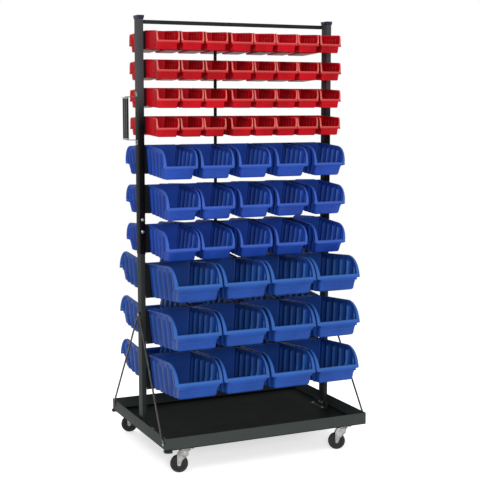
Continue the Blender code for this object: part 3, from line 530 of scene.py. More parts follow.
def addLip(shape, size):
    half = size["lipWidth"] / 2
    lip = rimRise - size["height"] + size["lipTop"]
    depth = size["overhang"] + size["wall"] / 2
    earFoot = lip - size["ear"]
    bandFoot = lip - size["band"]
    outline = [(half, lip), (-half, lip), (-half, earFoot), (half, earFoot)]
    if size["ear"] < size["band"]:
        body = size["bottomWidth"] / 2 + 0.001
        outline = [(half, lip), (-half, lip), (-half, earFoot), (-body, earFoot - 0.002),
                   (-body, bandFoot), (body, bandFoot), (body, earFoot - 0.002), (half, earFoot)]
    lipShape = bmesh.new()
    mark = lipShape.verts.layers.float.new("handled")
    drawOut(lipShape, outline, "y", -size["length"], -size["length"] + depth)
    front = -size["length"]
    upright = [e for e in lipShape.edges if all(abs(v.co.y - front) < 1e-6 and abs(abs(v.co.x) - half) < 1e-6 for v in e.verts)]
    roundEdges(lipShape, upright, depth * 0.5, 3)
    for vertex in lipShape.verts:  # the band leans back towards its top
        if vertex.co.y < front + depth * 0.9:
            vertex.co.y += size["lipLean"] * (vertex.co.z - bandFoot) / (lip - bandFoot)
    roundEdges(lipShape, sharpEdges(lipShape), 0.0009, 2)
    # painted highlight on the lip band, strongest at its top
    for vertex in lipShape.verts:
        vertex[mark] = size["handled"] * (vertex.co.z - bandFoot) / (lip - bandFoot)
    movedInto(shape, lipShape, Matrix.Identity(4))


def addHook(shape, size):
    half = size["topWidth"] * 0.32
    hook = bmesh.new()
    seat, drop, behind = 0.0022, 0.007, 0.0015 + clearance
    outline = [(-seat, clearance + hookThickness), (-seat, clearance), (behind, clearance), (behind, -drop),
               (behind + hookThickness, -drop), (behind + hookThickness, clearance + hookThickness)]
    drawOut(hook, outline, "x", -half, half)
    roundEdges(hook, sharpEdges(hook), 0.0003, 1)
    movedInto(shape, hook, Matrix.Identity(4))


for size in (smallBin, mediumBin, largeBin):
    single = buildBin(size)
    addLip(single, size)
    addHook(single, size)
    pattern = bpy.data.meshes.new("pattern")
    single.to_mesh(pattern)
    single.free()
    print(size["name"], "bin:", sum(len(p.vertices) - 2 for p in pattern.polygons), "triangles")
    for level in range(1, size["levels"] + 1):
        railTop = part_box(f"rail_{size['name']}_{level}")[1].z
        for side, way, turn in (("front", -1, 0.0), ("rear", 1, math.pi)):
            node = f"bins_{size['name']}_{level}_{side}"
            seat = Matrix.Translation((centreX + size["rowShift"], way * size["railHalfDepth"], railTop))
            seat = seat @ Matrix.Rotation(turn, 4, "Z") @ Matrix.Rotation(math.radians(size["tilt"]), 4, "X")
            for i in range(size["count"]):
                offset = (i - (size["count"] - 1) / 2 + size["strays"][i]) * size["pitch"]
                if side == "front":
                    offset += size["pushed"][level - 1][i]
                bin_ = bmesh.new()
                bin_.from_mesh(pattern)
                bmesh.ops.transform(bin_, matrix=seat @ Matrix.Translation((offset, 0, 0)), verts=bin_.verts)
                finishPiece(f"bin_{size['name']}_{level}_{side}_{i + 1}", bin_, size["surface"],
                            f"row_{size['name']}_{level}_{side}", (node,), 35, recalculated=False)
    bpy.data.meshes.remove(pattern)
print("bins hung")


# Tray

tray = {"lipThickness": 0.003, "floorSheet": 0.002, "cornerRound": 0.003, "footRound": 0.0025, "hemRound": 0.0013,
        "padHeight": 0.008, "padLength": 0.032, "padWidth": 0.030, "padReachX": 0.006, "padReachY": 0.009, "padCut": 0.010}
trayLow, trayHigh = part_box("tray")
trayEnd = trayHigh.x - centreX
traySide = trayHigh.y - tray["padReachY"]
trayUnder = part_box("caster_plate_left_front")[1].z + clearance
floorTop = trayUnder + tray["floorSheet"]
shape = bmesh.new()
addSlab(shape, (centreX - trayEnd, -traySide, trayUnder), (centreX + trayEnd, traySide, trayHigh.z))
shape.faces.ensure_lookup_table()
topFace = max(shape.faces, key=lambda f: f.calc_center_median().z)
bmesh.ops.inset_region(shape, faces=[topFace], thickness=tray["lipThickness"], depth=0)
sunk = bmesh.ops.extrude_face_region(shape, geom=[topFace])
bmesh.ops.delete(shape, geom=[topFace], context="FACES")
bmesh.ops.translate(shape, verts=[g for g in sunk["geom"] if isinstance(g, bmesh.types.BMVert)], vec=(0, 0, floorTop - trayHigh.z))


def isOn(value, target):
    return abs(value - target) < 1e-5


outer = [e for e in shape.edges if all(isOn(abs(v.co.x - centreX), trayEnd) and isOn(abs(v.co.y), traySide) for v in e.verts)]
roundEdges(shape, outer, tray["cornerRound"], 4)
foot = [e for e in sharpEdges(shape) if all(isOn(v.co.z, trayUnder) for v in e.verts)]
roundEdges(shape, foot, tray["footRound"], 3)
inner = [e for e in sharpEdges(shape) if all(v.co.z < trayHigh.z - 1e-5 and v.co.z > trayUnder + 0.001 for v in e.verts)
         and all(abs(v.co.x - centreX) < trayEnd - 0.002 and abs(v.co.y) < traySide - 0.002 for v in e.verts)]
roundEdges(shape, inner, 0.0015, 2)
rimEdges = [e for e in sharpEdges(shape) if all(isOn(v.co.z, trayHigh.z) for v in e.verts)]
roundEdges(shape, rimEdges, tray["hemRound"], 3)
finishPiece("tray_folded_sheet", shape, trayPowderCoat, "frame", ("tray",))
shape = bmesh.new()
for side in (-1, 1):
    edgeX = centreX - trayEnd - tray["padReachX"]
    edgeY = traySide + tray["padReachY"]
    innerX, innerY = edgeX + tray["padLength"], edgeY - tray["padWidth"]
    pad = bmesh.new()
    drawOut(pad, [(edgeX, side * innerY), (innerX, side * innerY), (innerX, side * edgeY),
                  (edgeX + tray["padCut"], side * edgeY), (edgeX, side * (edgeY - tray["padCut"]))], "z",
            trayUnder - tray["padHeight"], trayUnder + tray["floorSheet"] / 2)
    uprightEdges = [e for e in pad.edges if abs(e.verts[0].co.z - e.verts[1].co.z) > 0.001]
    roundEdges(pad, uprightEdges, 0.004, 3)
    roundEdges(pad, sharpEdges(pad), 0.001, 2)
    movedInto(shape, pad, Matrix.Identity(4))
finishPiece("tray_corner_pads", shape, greyPowderCoat, "frame", ("tray",))
# vertical butt welds where the lips meet at the tray's corners
shape = bmesh.new()
for sx in (-1, 1):
    for sy in (-1, 1):
        addSlab(shape, (centreX + sx * (trayEnd - 0.0042) - 0.0012, sy * (traySide - 0.0042) - 0.0012, floorTop + 0.001),
                (centreX + sx * (trayEnd - 0.0042) + 0.0012, sy * (traySide - 0.0042) + 0.0012, trayHigh.z - 0.0025), 0.0008, 2)
finishPiece("tray_corner_welds", shape, greyPowderCoat, "frame", ())
print("tray folded")


# Uprights, caps and top rail

tube = {"round": 0.0030, "wall": 0.0015, "boltFlats": 0.010, "boltHeight": 0.004, "washer": 0.0075, "washerThick": 0.0010}


# A hexagon head on its washer, standing on +Z; the sunk foot joins it to what it is bolted to
def addBolt(shape, matrix, flats=tube["boltFlats"], height=tube["boltHeight"], washer=tube["washer"]):
    bolt = bmesh.new()
    radius = flats / 2 / math.cos(math.pi / 6)
    ring = [(radius * math.cos(math.pi / 3 * i), radius * math.sin(math.pi / 3 * i)) for i in range(6)]
    drawOut(bolt, ring, "z", tube["washerThick"] * 0.8, height)
    top = [e for e in bolt.edges if all(isOn(v.co.z, height) for v in e.verts)]
    roundEdges(bolt, top, height * 0.18, 2)
    disc = bmesh.new()
    addTurned(disc, [(0, -0.0004), (washer, -0.0004), (washer, tube["washerThick"] * 0.6),
                     (washer - 0.0006, tube["washerThick"]), (0, tube["washerThick"])], 20)
    movedInto(bolt, disc, Matrix.Identity(4))
    movedInto(shape, bolt, matrix)


def addTube(shape, low, high, rounding, wall):
    width, depth = high.x - low.x, high.y - low.y
    middle = (low + high) / 2

    def ring(halfX, halfY, radius):
        points = []
        for sx, sy, start in ((1, 1, 0), (-1, 1, 90), (-1, -1, 180), (1, -1, 270)):
            for i in range(5):
                angle = math.radians(start + 90 * i / 4)
                points.append((middle.x + sx * (halfX - radius) + radius * math.cos(angle),
                               middle.y + sy * (halfY - radius) + radius * math.sin(angle)))
        return points
    loops = []
    for points, heights in ((ring(width / 2, depth / 2, rounding), (low.z, high.z)),
                            (ring(width / 2 - wall, depth / 2 - wall, rounding - wall + 0.0002), (low.z, high.z))):
        for z in heights:
            verts = [shape.verts.new((x, y, z)) for x, y in points]
            loops.append([shape.edges.new((verts[i], verts[(i + 1) % len(verts)])) for i in range(len(verts))])
    for a, b in ((0, 1), (2, 3), (0, 2), (1, 3)):
        bmesh.ops.bridge_loops(shape, edges=loops[a] + loops[b])


for side in ("left", "right"):
    low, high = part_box(f"upright_{side}_lower")
    shape = bmesh.new()
    addTube(shape, low, high, tube["round"] - 0.0012, tube["wall"])
    finishPiece(f"post_{side}_lower_tube", shape, greyPowderCoat, "frame", (f"upright_{side}_lower",))
    low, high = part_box(f"upright_{side}_upper")
    low.y = -high.y
    shape = bmesh.new()
    addTube(shape, low, high, tube["round"], tube["wall"])
    finishPiece(f"post_{side}_upper_tube", shape, blackPowderCoat, "frame", (f"upright_{side}_upper",))
    shape = bmesh.new()
    for rise in (0.097, 0.149):
        addBolt(shape, facingTo((0, -1, 0), ((low.x + high.x) / 2, low.y, low.z + rise)))
    finishPiece(f"splice_bolts_{side}", shape, brightZinc, "frame", ())
    low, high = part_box(f"cap_{side}")
    middle = (low + high) / 2
    shape = bmesh.new()
    levels = ((0.0022, 0.0, 0.0016), (0.0, 1.0 - 0.0016 / (high.z - low.z), 0.0030), (0.0010, 1.0, 0.0030))
    rings = []
    for inset, share, radius in levels:
        z = low.z + (high.z - low.z) * share
        halfX, halfY = (high.x - low.x) / 2 - inset, (high.y - low.y) / 2 - inset
        points = []
        for sx, sy, start in ((1, 1, 0), (-1, 1, 90), (-1, -1, 180), (1, -1, 270)):
            for i in range(5):
                angle = math.radians(start + 90 * i / 4)
                points.append((middle.x + sx * (halfX - radius) + radius * math.cos(angle),
                               middle.y + sy * (halfY - radius) + radius * math.sin(angle), z))
        verts = [shape.verts.new(p) for p in points]
        rings.append((verts, [shape.edges.new((verts[i], verts[(i + 1) % 20])) for i in range(20)]))
    for a, b in zip(rings, rings[1:]):
        bmesh.ops.bridge_loops(shape, edges=a[1] + b[1])
    shape.faces.new(rings[0][0])
    shape.faces.new(rings[-1][0])
    finishPiece(f"end_cap_{side}", shape, capPlastic, "frame", (f"cap_{side}",), 30)

low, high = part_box("top_rail")
shape = bmesh.new()
turned = Matrix.Rotation(math.pi / 2, 4, "Y")
flat = bmesh.new()
addTube(flat, Vector((-(high.z - low.z) / 2, low.y, low.x)), Vector(((high.z - low.z) / 2, high.y, high.x)), 0.0022, tube["wall"])
movedInto(shape, flat, Matrix.Translation((0, 0, (low.z + high.z) / 2)) @ turned)
finishPiece("top_rail_tube", shape, greyPowderCoat, "frame", ("top_rail",))
print("uprights raised")


# Handle: a strap bent out of flat bar on the left upright, and the fluted grip on it

handle = {"strapWidth": 0.020, "strapThick": 0.003, "bend": 0.0020, "tabReach": 0.012, "armInset": 0.009,
          "gripRadius": 0.0135, "flutes": 8, "fluteDepth": 0.0018, "collar": 0.006, "collarDrop": 0.0009}


# A strip of sheet seen edge on: its middle line with rounded bends, given back as a closed outline
def bentStrip(path, thick, bend, steps=4):
    points = [Vector(p) for p in path]
    line = [points[0]]
    for before, corner, after in zip(points, points[1:], points[2:]):
        toward, away = (before - corner).normalized(), (after - corner).normalized()
        turn = math.pi - toward.angle(away)
        cut = bend * math.tan(turn / 2)
        middle = corner + (toward + away).normalized() * (bend / math.cos(turn / 2))
        start, end = corner + toward * cut - middle, corner + away * cut - middle
        for i in range(steps + 1):
            line.append(middle + (start * (1 - i / steps) + end * (i / steps)).normalized() * bend)
    line.append(points[-1])
    left, right = [], []
    for i, point in enumerate(line):
        ahead = (line[min(i + 1, len(line) - 1)] - line[max(i - 1, 0)]).normalized()
        across = Vector((-ahead.y, ahead.x)) * thick / 2
        left.append(point + across)
        right.append(point - across)
    return [tuple(p) for p in left + right[::-1]]


strapLow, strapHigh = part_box("handle_strap")
gripLow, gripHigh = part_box("handle_grip")
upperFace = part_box("upright_left_upper")[0].x - clearance
half = handle["strapThick"] / 2
armTop = strapHigh.z - handle["tabReach"] - handle["armInset"] - half
armBottom = strapLow.z + handle["tabReach"] + handle["armInset"] + half
shape = bmesh.new()
drawOut(shape, bentStrip([(upperFace - half, strapHigh.z), (upperFace - half, armTop), (strapLow.x + half, armTop),
                          (strapLow.x + half, armBottom), (upperFace - half, armBottom), (upperFace - half, strapLow.z)],
                         handle["strapThick"], handle["bend"]),
        "y", -handle["strapWidth"] / 2, handle["strapWidth"] / 2)
tips = [e for e in shape.edges if abs(e.verts[0].co.y - e.verts[1].co.y) < 1e-6
        and all(min(abs(v.co.z - strapHigh.z), abs(v.co.z - strapLow.z)) < 1e-5 for v in e.verts)]
roundEdges(shape, tips, 0.0075, 5)
roundEdges(shape, sharpEdges(shape), 0.0005, 2)
finishPiece("handle_bent_strap", shape, brightZinc, "frame", ("handle_strap",), 35)
shape = bmesh.new()
for z in (strapHigh.z - handle["tabReach"], strapLow.z + handle["tabReach"]):
    addBolt(shape, facingTo((-1, 0, 0), (upperFace - handle["strapThick"], 0, z)))
finishPiece("handle_bolts", shape, brightZinc, "frame", ())

# The grip's flutes run between two plain collars
gripMiddle = (gripLow + gripHigh) / 2
shape = bmesh.new()
stations = ((0.0, 0.0, handle["gripRadius"] - 0.0015), (0.0006, 0.0, handle["gripRadius"] - 0.0003), (0.0012, 0.0, handle["gripRadius"]),
            (handle["collar"] - 0.0008, 0.0, handle["gripRadius"]),
            (handle["collar"], 0.3, handle["gripRadius"] - handle["collarDrop"]),
            (handle["collar"] + 0.0015, 1.0, handle["gripRadius"] - 0.0002))
gripTall = gripHigh.z - gripLow.z
stations += tuple((gripTall - rise, flute, radius) for rise, flute, radius in reversed(stations))
sides = handle["flutes"] * 6
rings = []
for rise, flute, radius in stations:
    verts = []
    for i in range(sides):
        angle = 2 * math.pi * i / sides
        groove = 1 - max(0.0, math.cos(handle["flutes"] * angle)) ** 3
        reach = radius - handle["fluteDepth"] * flute * groove
        verts.append(shape.verts.new((gripMiddle.x + reach * math.cos(angle), reach * math.sin(angle), gripLow.z + rise)))
    rings.append((verts, [shape.edges.new((verts[i], verts[(i + 1) % sides])) for i in range(sides)]))
for a, b in zip(rings, rings[1:]):
    bmesh.ops.bridge_loops(shape, edges=a[1] + b[1])
shape.faces.new(rings[0][0])
shape.faces.new(rings[-1][0])
finishPiece("handle_fluted_grip", shape, gripPlastic, "frame", ("handle_grip",), 50)
print("handle bent")


# Brace rods: round bar whose ends are hammered flat and bolted on

rods = {"radius": 0.004, "tabHalf": 0.009, "tabThick": 0.003, "tabRun": 0.013, "neckRun": 0.026, "top": 0.620,
        "footInset": 0.025, "footRise": 0.024, "standOff": 0.0006}


def addRod(shape, side, way, layer):
    lift = layer * (rods["tabThick"] + clearance)
    thin = rods["tabThick"] / 2
    postFace = postHalf + clearance + lift
    lipFace = trayEnd + clearance
    top = Vector((0, rods["top"]))
    foot = Vector((way * (traySide - rods["footInset"]), trayUnder + rods["footRise"]))
    run = (foot - top).length
    ahead = (foot - top) / run
    across = Vector((-ahead.y, ahead.x))
    neck, stem = postFace + rods["radius"], trayEnd + rods["radius"] + rods["standOff"]
    tab, radius = rods["tabHalf"], rods["radius"]
    stations = []
    for share in (1.0, 0.95, 0.8, 0.55, 0.25, 0.0):
        stations.append((-tab * share, postFace + thin, thin, max(0.0012, tab * math.sqrt(1 - share * share)), 6.0))
    stations.append((rods["tabRun"], postFace + thin, thin, tab, 6.0))
    for i in (1, 2, 3):
        mix = 0.5 - 0.5 * math.cos(math.pi * i / 4)
        stations.append((rods["tabRun"] + (rods["neckRun"] - rods["tabRun"]) * i / 4, postFace + thin + (radius - thin) * mix,
                         thin + (radius - thin) * mix, tab + (radius - tab) * mix, 6.0 - 4.0 * mix))
    stations.append((rods["neckRun"], neck, radius, radius, 2.0))
    ends = []
    for distance, x, thick, wide, power in stations:
        lipX = lipFace + thin + (x - postFace - thin) / max(radius - thin, 1e-6) * (stem - lipFace - thin)
        ends.append((run - distance, lipX, thick, wide, power))
    rings = []
    for distance, x, thick, wide, power in stations + ends[::-1]:
        verts = []
        for i in range(20):
            angle = 2 * math.pi * i / 20
            c, s = math.cos(angle), math.sin(angle)
            a = math.copysign(abs(c) ** (2 / power), c) * thick
            b = math.copysign(abs(s) ** (2 / power), s) * wide
            place = top + ahead * distance + across * b
            verts.append(shape.verts.new((centreX + side * (x + a), place.x, place.y)))
        rings.append((verts, [shape.edges.new((verts[i], verts[(i + 1) % 20])) for i in range(20)]))
    for a, b in zip(rings, rings[1:]):
        bmesh.ops.bridge_loops(shape, edges=a[1] + b[1])
    shape.faces.new(rings[0][0])
    shape.faces.new(rings[-1][0])
    return (centreX + side * (postFace + 2 * thin), top.x, top.y), (centreX + side * (lipFace + 2 * thin), foot.x, foot.y)


postHalf = (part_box("upright_right_lower")[1].x - centreX)
for side, sideName in ((-1, "left"), (1, "right")):
    for way, layer, endName in ((-1, 0, "front"), (1, 1, "rear")):
        node = f"brace_rod_{sideName}_{endName}"
        shape = bmesh.new()
        topBolt, footBolt = addRod(shape, side, way, layer)
        finishPiece(f"flat_ended_rod_{sideName}_{endName}", shape, shadedZinc, "frame", (node,), 50)
        shape = bmesh.new()
        addBolt(shape, facingTo((side, 0, 0), footBolt))
        if layer:
            addBolt(shape, facingTo((side, 0, 0), topBolt))
        finishPiece(f"rod_bolts_{sideName}_{endName}", shape, brightZinc, "frame", ())
print("rods bolted")


# Foot brackets: bent angles that hold the uprights to the tray floor

bracket = {"thick": 0.003, "bend": 0.0035, "corner": 0.006, "postShare": 0.10, "floorShare": 0.36}
for side, sideName in ((-1, "left"), (1, "right")):
    low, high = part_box(f"foot_bracket_{sideName}")
    back, reach = (low.x, high.x) if side < 0 else (high.x, low.x)
    inward = -side
    thin = bracket["thick"] / 2
    shape = bmesh.new()
    drawOut(shape, bentStrip([(back + inward * thin, low.z + 0.030), (back + inward * thin, low.z + thin), (reach, low.z + thin)],
                             bracket["thick"], bracket["bend"], 5), "y", low.y, high.y)
    corners = [e for e in shape.edges if abs(e.verts[0].co.y - e.verts[1].co.y) < 1e-6
               and (all(isOn(v.co.z, low.z + 0.030) for v in e.verts) or all(isOn(v.co.x, reach) for v in e.verts))]
    roundEdges(shape, corners, bracket["corner"], 4)
    roundEdges(shape, sharpEdges(shape), 0.0005, 2)
    finishPiece(f"bent_bracket_{sideName}", shape, greyPowderCoat, "frame", (f"foot_bracket_{sideName}",), 35)
    shape = bmesh.new()
    span = high.y - low.y
    for way in (-1, 1):
        addBolt(shape, facingTo((inward, 0, 0), (back + inward * bracket["thick"], way * span * bracket["postShare"], low.z + 0.015)))
        addBolt(shape, facingTo((0, 0, 1), ((back + reach) / 2 + inward * thin, way * span * bracket["floorShare"], low.z + bracket["thick"])))
    finishPiece(f"bracket_bolts_{sideName}", shape, brightZinc, "frame", ())
print("brackets bolted")


# Casters: a fixed plate with its race and king pin, a pressed fork that swivels, and a rubber wheel

caster = {
    "plate": 0.060, "plateThick": 0.0025, "plateCorner": 0.007, "boltSpan": 0.022, "raceRadius": 0.022, "raceTall": 0.0085,
    "pinRadius": 0.005, "pinHead": 0.008, "crownRadius": 0.021, "crownThick": 0.003, "legThick": 0.0025,
    "legGap": 0.0006, "legEnd": 0.008, "front": 0.013, "back": 0.026, "shoulder": 0.020, "trail": 0.028, "degrees": 158.3,
    "wheelRadius": 0.0375, "wheelWidth": 0.024, "axleRadius": 0.004, "headRadius": 0.0065, "headTall": 0.0025,
}
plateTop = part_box("caster_plate_left_front")[1].z
raceFoot = plateTop - caster["plateThick"] - caster["raceTall"]
crownTop = raceFoot - clearance
crownFoot = crownTop - caster["crownThick"]


def buildPlate():
    half = caster["plate"] / 2
    shape = bmesh.new()
    addSlab(shape, (-half, -half, plateTop - caster["plateThick"]), (half, half, plateTop))
    corners = [e for e in shape.edges if abs(e.verts[0].co.z - e.verts[1].co.z) > 0.001]
    roundEdges(shape, corners, caster["plateCorner"], 5)
    roundEdges(shape, sharpEdges(shape), 0.0005, 2)
    race = bmesh.new()
    outer, tall = caster["raceRadius"], caster["raceTall"]
    plateFoot = plateTop - caster["plateThick"]
    addTurned(race, [(0, plateFoot + 0.0005), (outer - 0.004, plateFoot + 0.0005), (outer - 0.0025, plateFoot - 0.0008),
                     (outer - 0.0022, raceFoot + tall * 0.55), (outer - 0.0008, raceFoot + tall * 0.45),
                     (outer, raceFoot + tall * 0.30), (outer - 0.0004, raceFoot + 0.0006), (outer - 0.0015, raceFoot), (0, raceFoot)], 48)
    movedInto(shape, race, Matrix.Identity(4))
    pin = bmesh.new()
    headTop = crownFoot - clearance
    head = caster["pinHead"]
    addTurned(pin, [(0, raceFoot + 0.001), (caster["pinRadius"], raceFoot + 0.001), (caster["pinRadius"], headTop), (head - 0.0004, headTop),
                    (head, headTop - 0.0004), (head, headTop - 0.0018), (head - 0.002, headTop - 0.0028), (0, headTop - 0.003)], 28)
    movedInto(shape, pin, Matrix.Identity(4))
    return shape


def buildFork():
    inner = caster["wheelWidth"] / 2 + caster["legGap"]
    outer = inner + caster["legThick"]
    axleZ = caster["wheelRadius"]
    end, trail = caster["legEnd"], caster["trail"]
    top = crownTop - 0.0002
    outline = [(-caster["front"] + 0.004, top), (caster["back"] - 0.003, top), (caster["back"], top - 0.003),
               (trail + end, crownTop - caster["shoulder"])]
    for i in range(13):
        angle = -math.pi * i / 12
        outline.append((trail + end * math.cos(angle), axleZ + end * math.sin(angle)))
    outline += [(trail - end - 0.006, axleZ + 0.016), (-caster["front"] + 0.001, crownTop - caster["shoulder"]),
                (-caster["front"], top - 0.004)]
    shape = bmesh.new()
    for way in (-1, 1):
        leg = bmesh.new()
        drawOut(leg, outline, "y", way * inner, way * outer)
        roundEdges(leg, sharpEdges(leg, 50), 0.0006, 2)
        movedInto(shape, leg, Matrix.Identity(4))
    web = bmesh.new()
    addSlab(web, (-caster["front"], -outer, crownTop - 0.0028), (caster["back"] - 0.001, outer, crownTop))
    edges = [e for e in web.edges if all(isOn(v.co.z, crownTop) and isOn(abs(v.co.y), outer) for v in e.verts)]
    roundEdges(web, edges, 0.0024, 4)
    roundEdges(web, sharpEdges(web, 60), 0.0006, 2)
    movedInto(shape, web, Matrix.Identity(4))
    crown = bmesh.new()
    outerR, pin = caster["crownRadius"], caster["pinRadius"] + clearance
    addTurned(crown, [(pin, crownFoot), (outerR - 0.001, crownFoot), (outerR, crownFoot + 0.001), (outerR, crownTop - 0.0012),
                      (outerR - 0.0012, crownTop), (pin, crownTop), (pin, crownFoot)], 48)
    movedInto(shape, crown, Matrix.Identity(4))
    for way in (-1, 1):
        head = bmesh.new()
        radius, tall = caster["headRadius"], caster["headTall"]
        ring = [(radius * math.cos(math.pi / 3 * i), radius * math.sin(math.pi / 3 * i)) for i in range(6)]
        drawOut(head, ring, "z", -0.0004, tall)
        roundEdges(head, [e for e in head.edges if all(isOn(v.co.z, tall) for v in e.verts)], 0.0006, 2)
        movedInto(shape, head, facingTo((0, way, 0), (trail, way * outer, axleZ)))
    axle = bmesh.new()
    addTurned(axle, [(0, -outer), (caster["axleRadius"], -outer), (caster["axleRadius"], outer), (0, outer)], 24)
    movedInto(shape, axle, facingTo((0, 1, 0), (trail, 0, axleZ)))
    return shape


# The hub is dished around the axle
def buildWheel():
    half, radius = caster["wheelWidth"] / 2, caster["wheelRadius"]
    bore = caster["axleRadius"] + clearance
    profile = [(bore, -half + 0.0012), (0.0095, -half + 0.0012), (0.0100, -half + 0.0040), (0.0225, -half + 0.0034),
               (0.0245, -half + 0.0006), (0.0300, -half), (0.0338, -half + 0.0006), (0.0361, -half + 0.0024),
               (0.0370, -half + 0.0045), (radius, -half + 0.0080), (radius, 0)]
    profile += [(r, -y) for r, y in reversed(profile[:-1])]
    profile.append(profile[0])
    shape = bmesh.new()
    addTurned(shape, profile, 96)
    return shape


plateMesh, forkMesh, wheelMesh = buildPlate(), buildFork(), buildWheel()
for side, sideName in ((-1, "left"), (1, "right")):
    for way, endName in ((-1, "front"), (1, "rear")):
        corner = f"{sideName}_{endName}"
        low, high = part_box(f"caster_plate_{corner}")
        pivot = Matrix.Translation(((low.x + high.x) / 2, (low.y + high.y) / 2, 0))
        trailing = pivot @ Matrix.Rotation(math.radians(caster["degrees"]), 4, "Z")
        seat = plateMesh.copy()
        bmesh.ops.transform(seat, matrix=pivot, verts=seat.verts)
        finishPiece(f"caster_seat_{corner}", seat, brightZinc, "frame", (f"caster_plate_{corner}",))
        shape = bmesh.new()
        for sx in (-1, 1):
            for sy in (-1, 1):
                at = pivot @ Vector((sx * caster["boltSpan"], sy * caster["boltSpan"], plateTop - caster["plateThick"]))
                addBolt(shape, facingTo((0, 0, -1), at), 0.009, 0.0035, 0.0062)
        finishPiece(f"caster_bolts_{corner}", shape, brightZinc, "frame", ())
        fork = forkMesh.copy()
        bmesh.ops.transform(fork, matrix=trailing, verts=fork.verts)
        finishPiece(f"pressed_fork_{corner}", fork, brightZinc, f"fork_{corner}", (f"caster_fork_{corner}",))
        wheel = wheelMesh.copy()
        onAxle = trailing @ Matrix.Translation((caster["trail"], 0, caster["wheelRadius"])) @ Matrix.Rotation(-math.pi / 2, 4, "X")
        bmesh.ops.transform(wheel, matrix=onAxle, verts=wheel.verts)
        finishPiece(f"rubber_wheel_{corner}", wheel, darkRubber, f"wheel_{corner}", (f"caster_wheel_{corner}",), 30)
for pattern in (plateMesh, forkMesh, wheelMesh):
    pattern.free()
print("casters rolled on")


# Small bins' rails: the same folded section, drawn in at the foot so that no edge shows under the bins

smallRail = {"wall": 0.0015, "lip": 0.014, "raisedFoot": 0.0065, "round": 0.0006}
for level in range(1, smallBin["levels"] + 1):
    railLow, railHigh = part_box(f"rail_small_{level}")
    half, wall, web = smallBin["railHalfDepth"], smallRail["wall"], smallRail["lip"] + smallRail["wall"]
    foot = railHigh.z - railLow.z - smallRail["raisedFoot"]
    lean = math.tan(math.radians(smallBin["tilt"]))
    right = [(half, 0), (half - lean * foot, -foot), (half - lean * foot - wall, -foot), (half - lean * web - wall, -web)]
    left = [(-y, z) for y, z in reversed(right)]
    inside = [(-half + wall, 0), (-half + lean * smallRail["lip"] + wall, -smallRail["lip"])]
    section = left + inside + [(-y, z) for y, z in reversed(inside)] + right
    shape = bmesh.new()
    drawOut(shape, [(y, railHigh.z + z) for y, z in section], "x", railLow.x, railHigh.x)
    roundEdges(shape, sharpEdges(shape), smallRail["round"], 1)
    finishPiece(f"folded_rail_small_{level}", shape, railBlackPaint, "frame", (f"rail_small_{level}",))


# The other bin rails and the centre strut stay as they were made, in matt black paint

for name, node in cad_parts.items():
    if name.startswith("rail_") or name == "center_strut":
        node.data.materials.clear()
        node.data.materials.append(railBlackPaint)
print("rails painted")


# Floor, light and camera

def paleFloor():
    finish, tree, shader, place = startFinish("pale matt floor", {
        "IOR": 1.45, "Metallic": 0.0, "Specular IOR Level": 0.2, "Emission Color": linearColour("#ffffff"), "Emission Strength": 0.60})
    mottle = addNode(tree, "TexNoise", {"Scale": 1.5, "Detail": 3.0}, {"Vector": place})
    tint = addNode(tree, "ValToRGB", {"stops": ((0.3, "#f0f0f0"), (0.7, "#f6f6f6"))}, {"Fac": mottle.outputs["Fac"]})
    tree.links.new(tint.outputs["Color"], shader.inputs["Base Color"])
    gloss = addNode(tree, "MapRange", {"To Min": 0.75, "To Max": 0.9}, {"Value": mottle.outputs["Fac"]})
    tree.links.new(gloss.outputs["Result"], shader.inputs["Roughness"])
    # the floor fades out into the background away from the cart
    spot = addNode(tree, "VectorMath", {"operation": "LENGTH"}, {0: place})
    fade = addNode(tree, "MapRange", {"From Min": 1.2, "From Max": 4.0, "interpolation_type": "SMOOTHSTEP"},
                   {"Value": spot.outputs["Value"]})
    clear = addNode(tree, "BsdfTransparent")
    mixed = addNode(tree, "MixShader", links={0: fade.outputs["Result"], 1: shader.outputs["BSDF"], 2: clear.outputs["BSDF"]})
    tree.links.new(mixed.outputs["Shader"], tree.nodes["Material Output"].inputs["Surface"])
    return finish


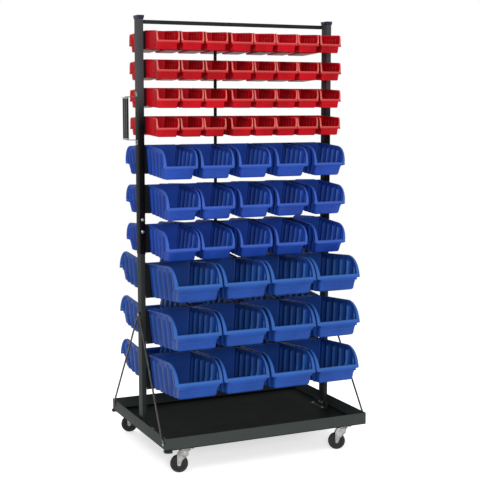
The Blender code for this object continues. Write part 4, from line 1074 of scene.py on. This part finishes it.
studio = {"floorHalf": 5.0, "worldColour": "#ffffff", "seenStrength": 1.0, "litStrength": 0.66,
          "left": {"power": 30, "size": 1.2, "place": (-2.9, -2.9, 4.1)},
          "front": {"power": 104, "size": 1.2, "place": (-1.5, -5.1, 1.9)},
          "back": {"power": 55, "size": 1.6, "place": (1.4, 3.4, 5.4)}}
shape = bmesh.new()
bmesh.ops.create_grid(shape, x_segments=8, y_segments=8, size=studio["floorHalf"])
mesh = bpy.data.meshes.new("floor")
shape.to_mesh(mesh)
shape.free()
mesh.materials.append(paleFloor())
floor = bpy.data.objects.new("floor", mesh)
bpy.context.scene.collection.objects.link(floor)


def addSoftLight(name):
    power, size, place = (studio[name][key] for key in ("power", "size", "place"))
    lamp = bpy.data.lights.new(name, "AREA")
    lamp.energy, lamp.size = power, size
    holder = bpy.data.objects.new(name, lamp)
    bpy.context.scene.collection.objects.link(holder)
    holder.location = place
    holder.rotation_euler = (Vector((0, 0, 0.9)) - Vector(place)).to_track_quat("-Z", "Y").to_euler()


for name in ("left", "front", "back"):
    addSoftLight(name)
world = bpy.data.worlds.new("white surroundings")
world.use_nodes = True
surround = world.node_tree.nodes["Background"]
surround.inputs["Color"].default_value = linearColour(studio["worldColour"])
rays = addNode(world.node_tree, "LightPath")  # white behind the cart, dimmer as a light
glow = addNode(world.node_tree, "MapRange", {"To Min": studio["litStrength"], "To Max": studio["seenStrength"]},
               {"Value": rays.outputs["Is Camera Ray"]})
world.node_tree.links.new(glow.outputs["Result"], surround.inputs["Strength"])
bpy.context.scene.world = world
bpy.context.scene.view_settings.view_transform = "Standard"

view = {"place": (-2.0050, -4.4495, 1.5225), "yaw": -24.678, "down": 7.024, "lens": 82.58, "sensor": 36.0}
lens = bpy.data.cameras.new("camera")
lens.lens, lens.sensor_width = view["lens"], view["sensor"]
camera = bpy.data.objects.new("camera", lens)
camera.location = view["place"]
camera.rotation_euler = (math.radians(90 - view["down"]), 0, math.radians(view["yaw"]))
bpy.context.scene.collection.objects.link(camera)
bpy.context.scene.camera = camera
print("lights and camera set")
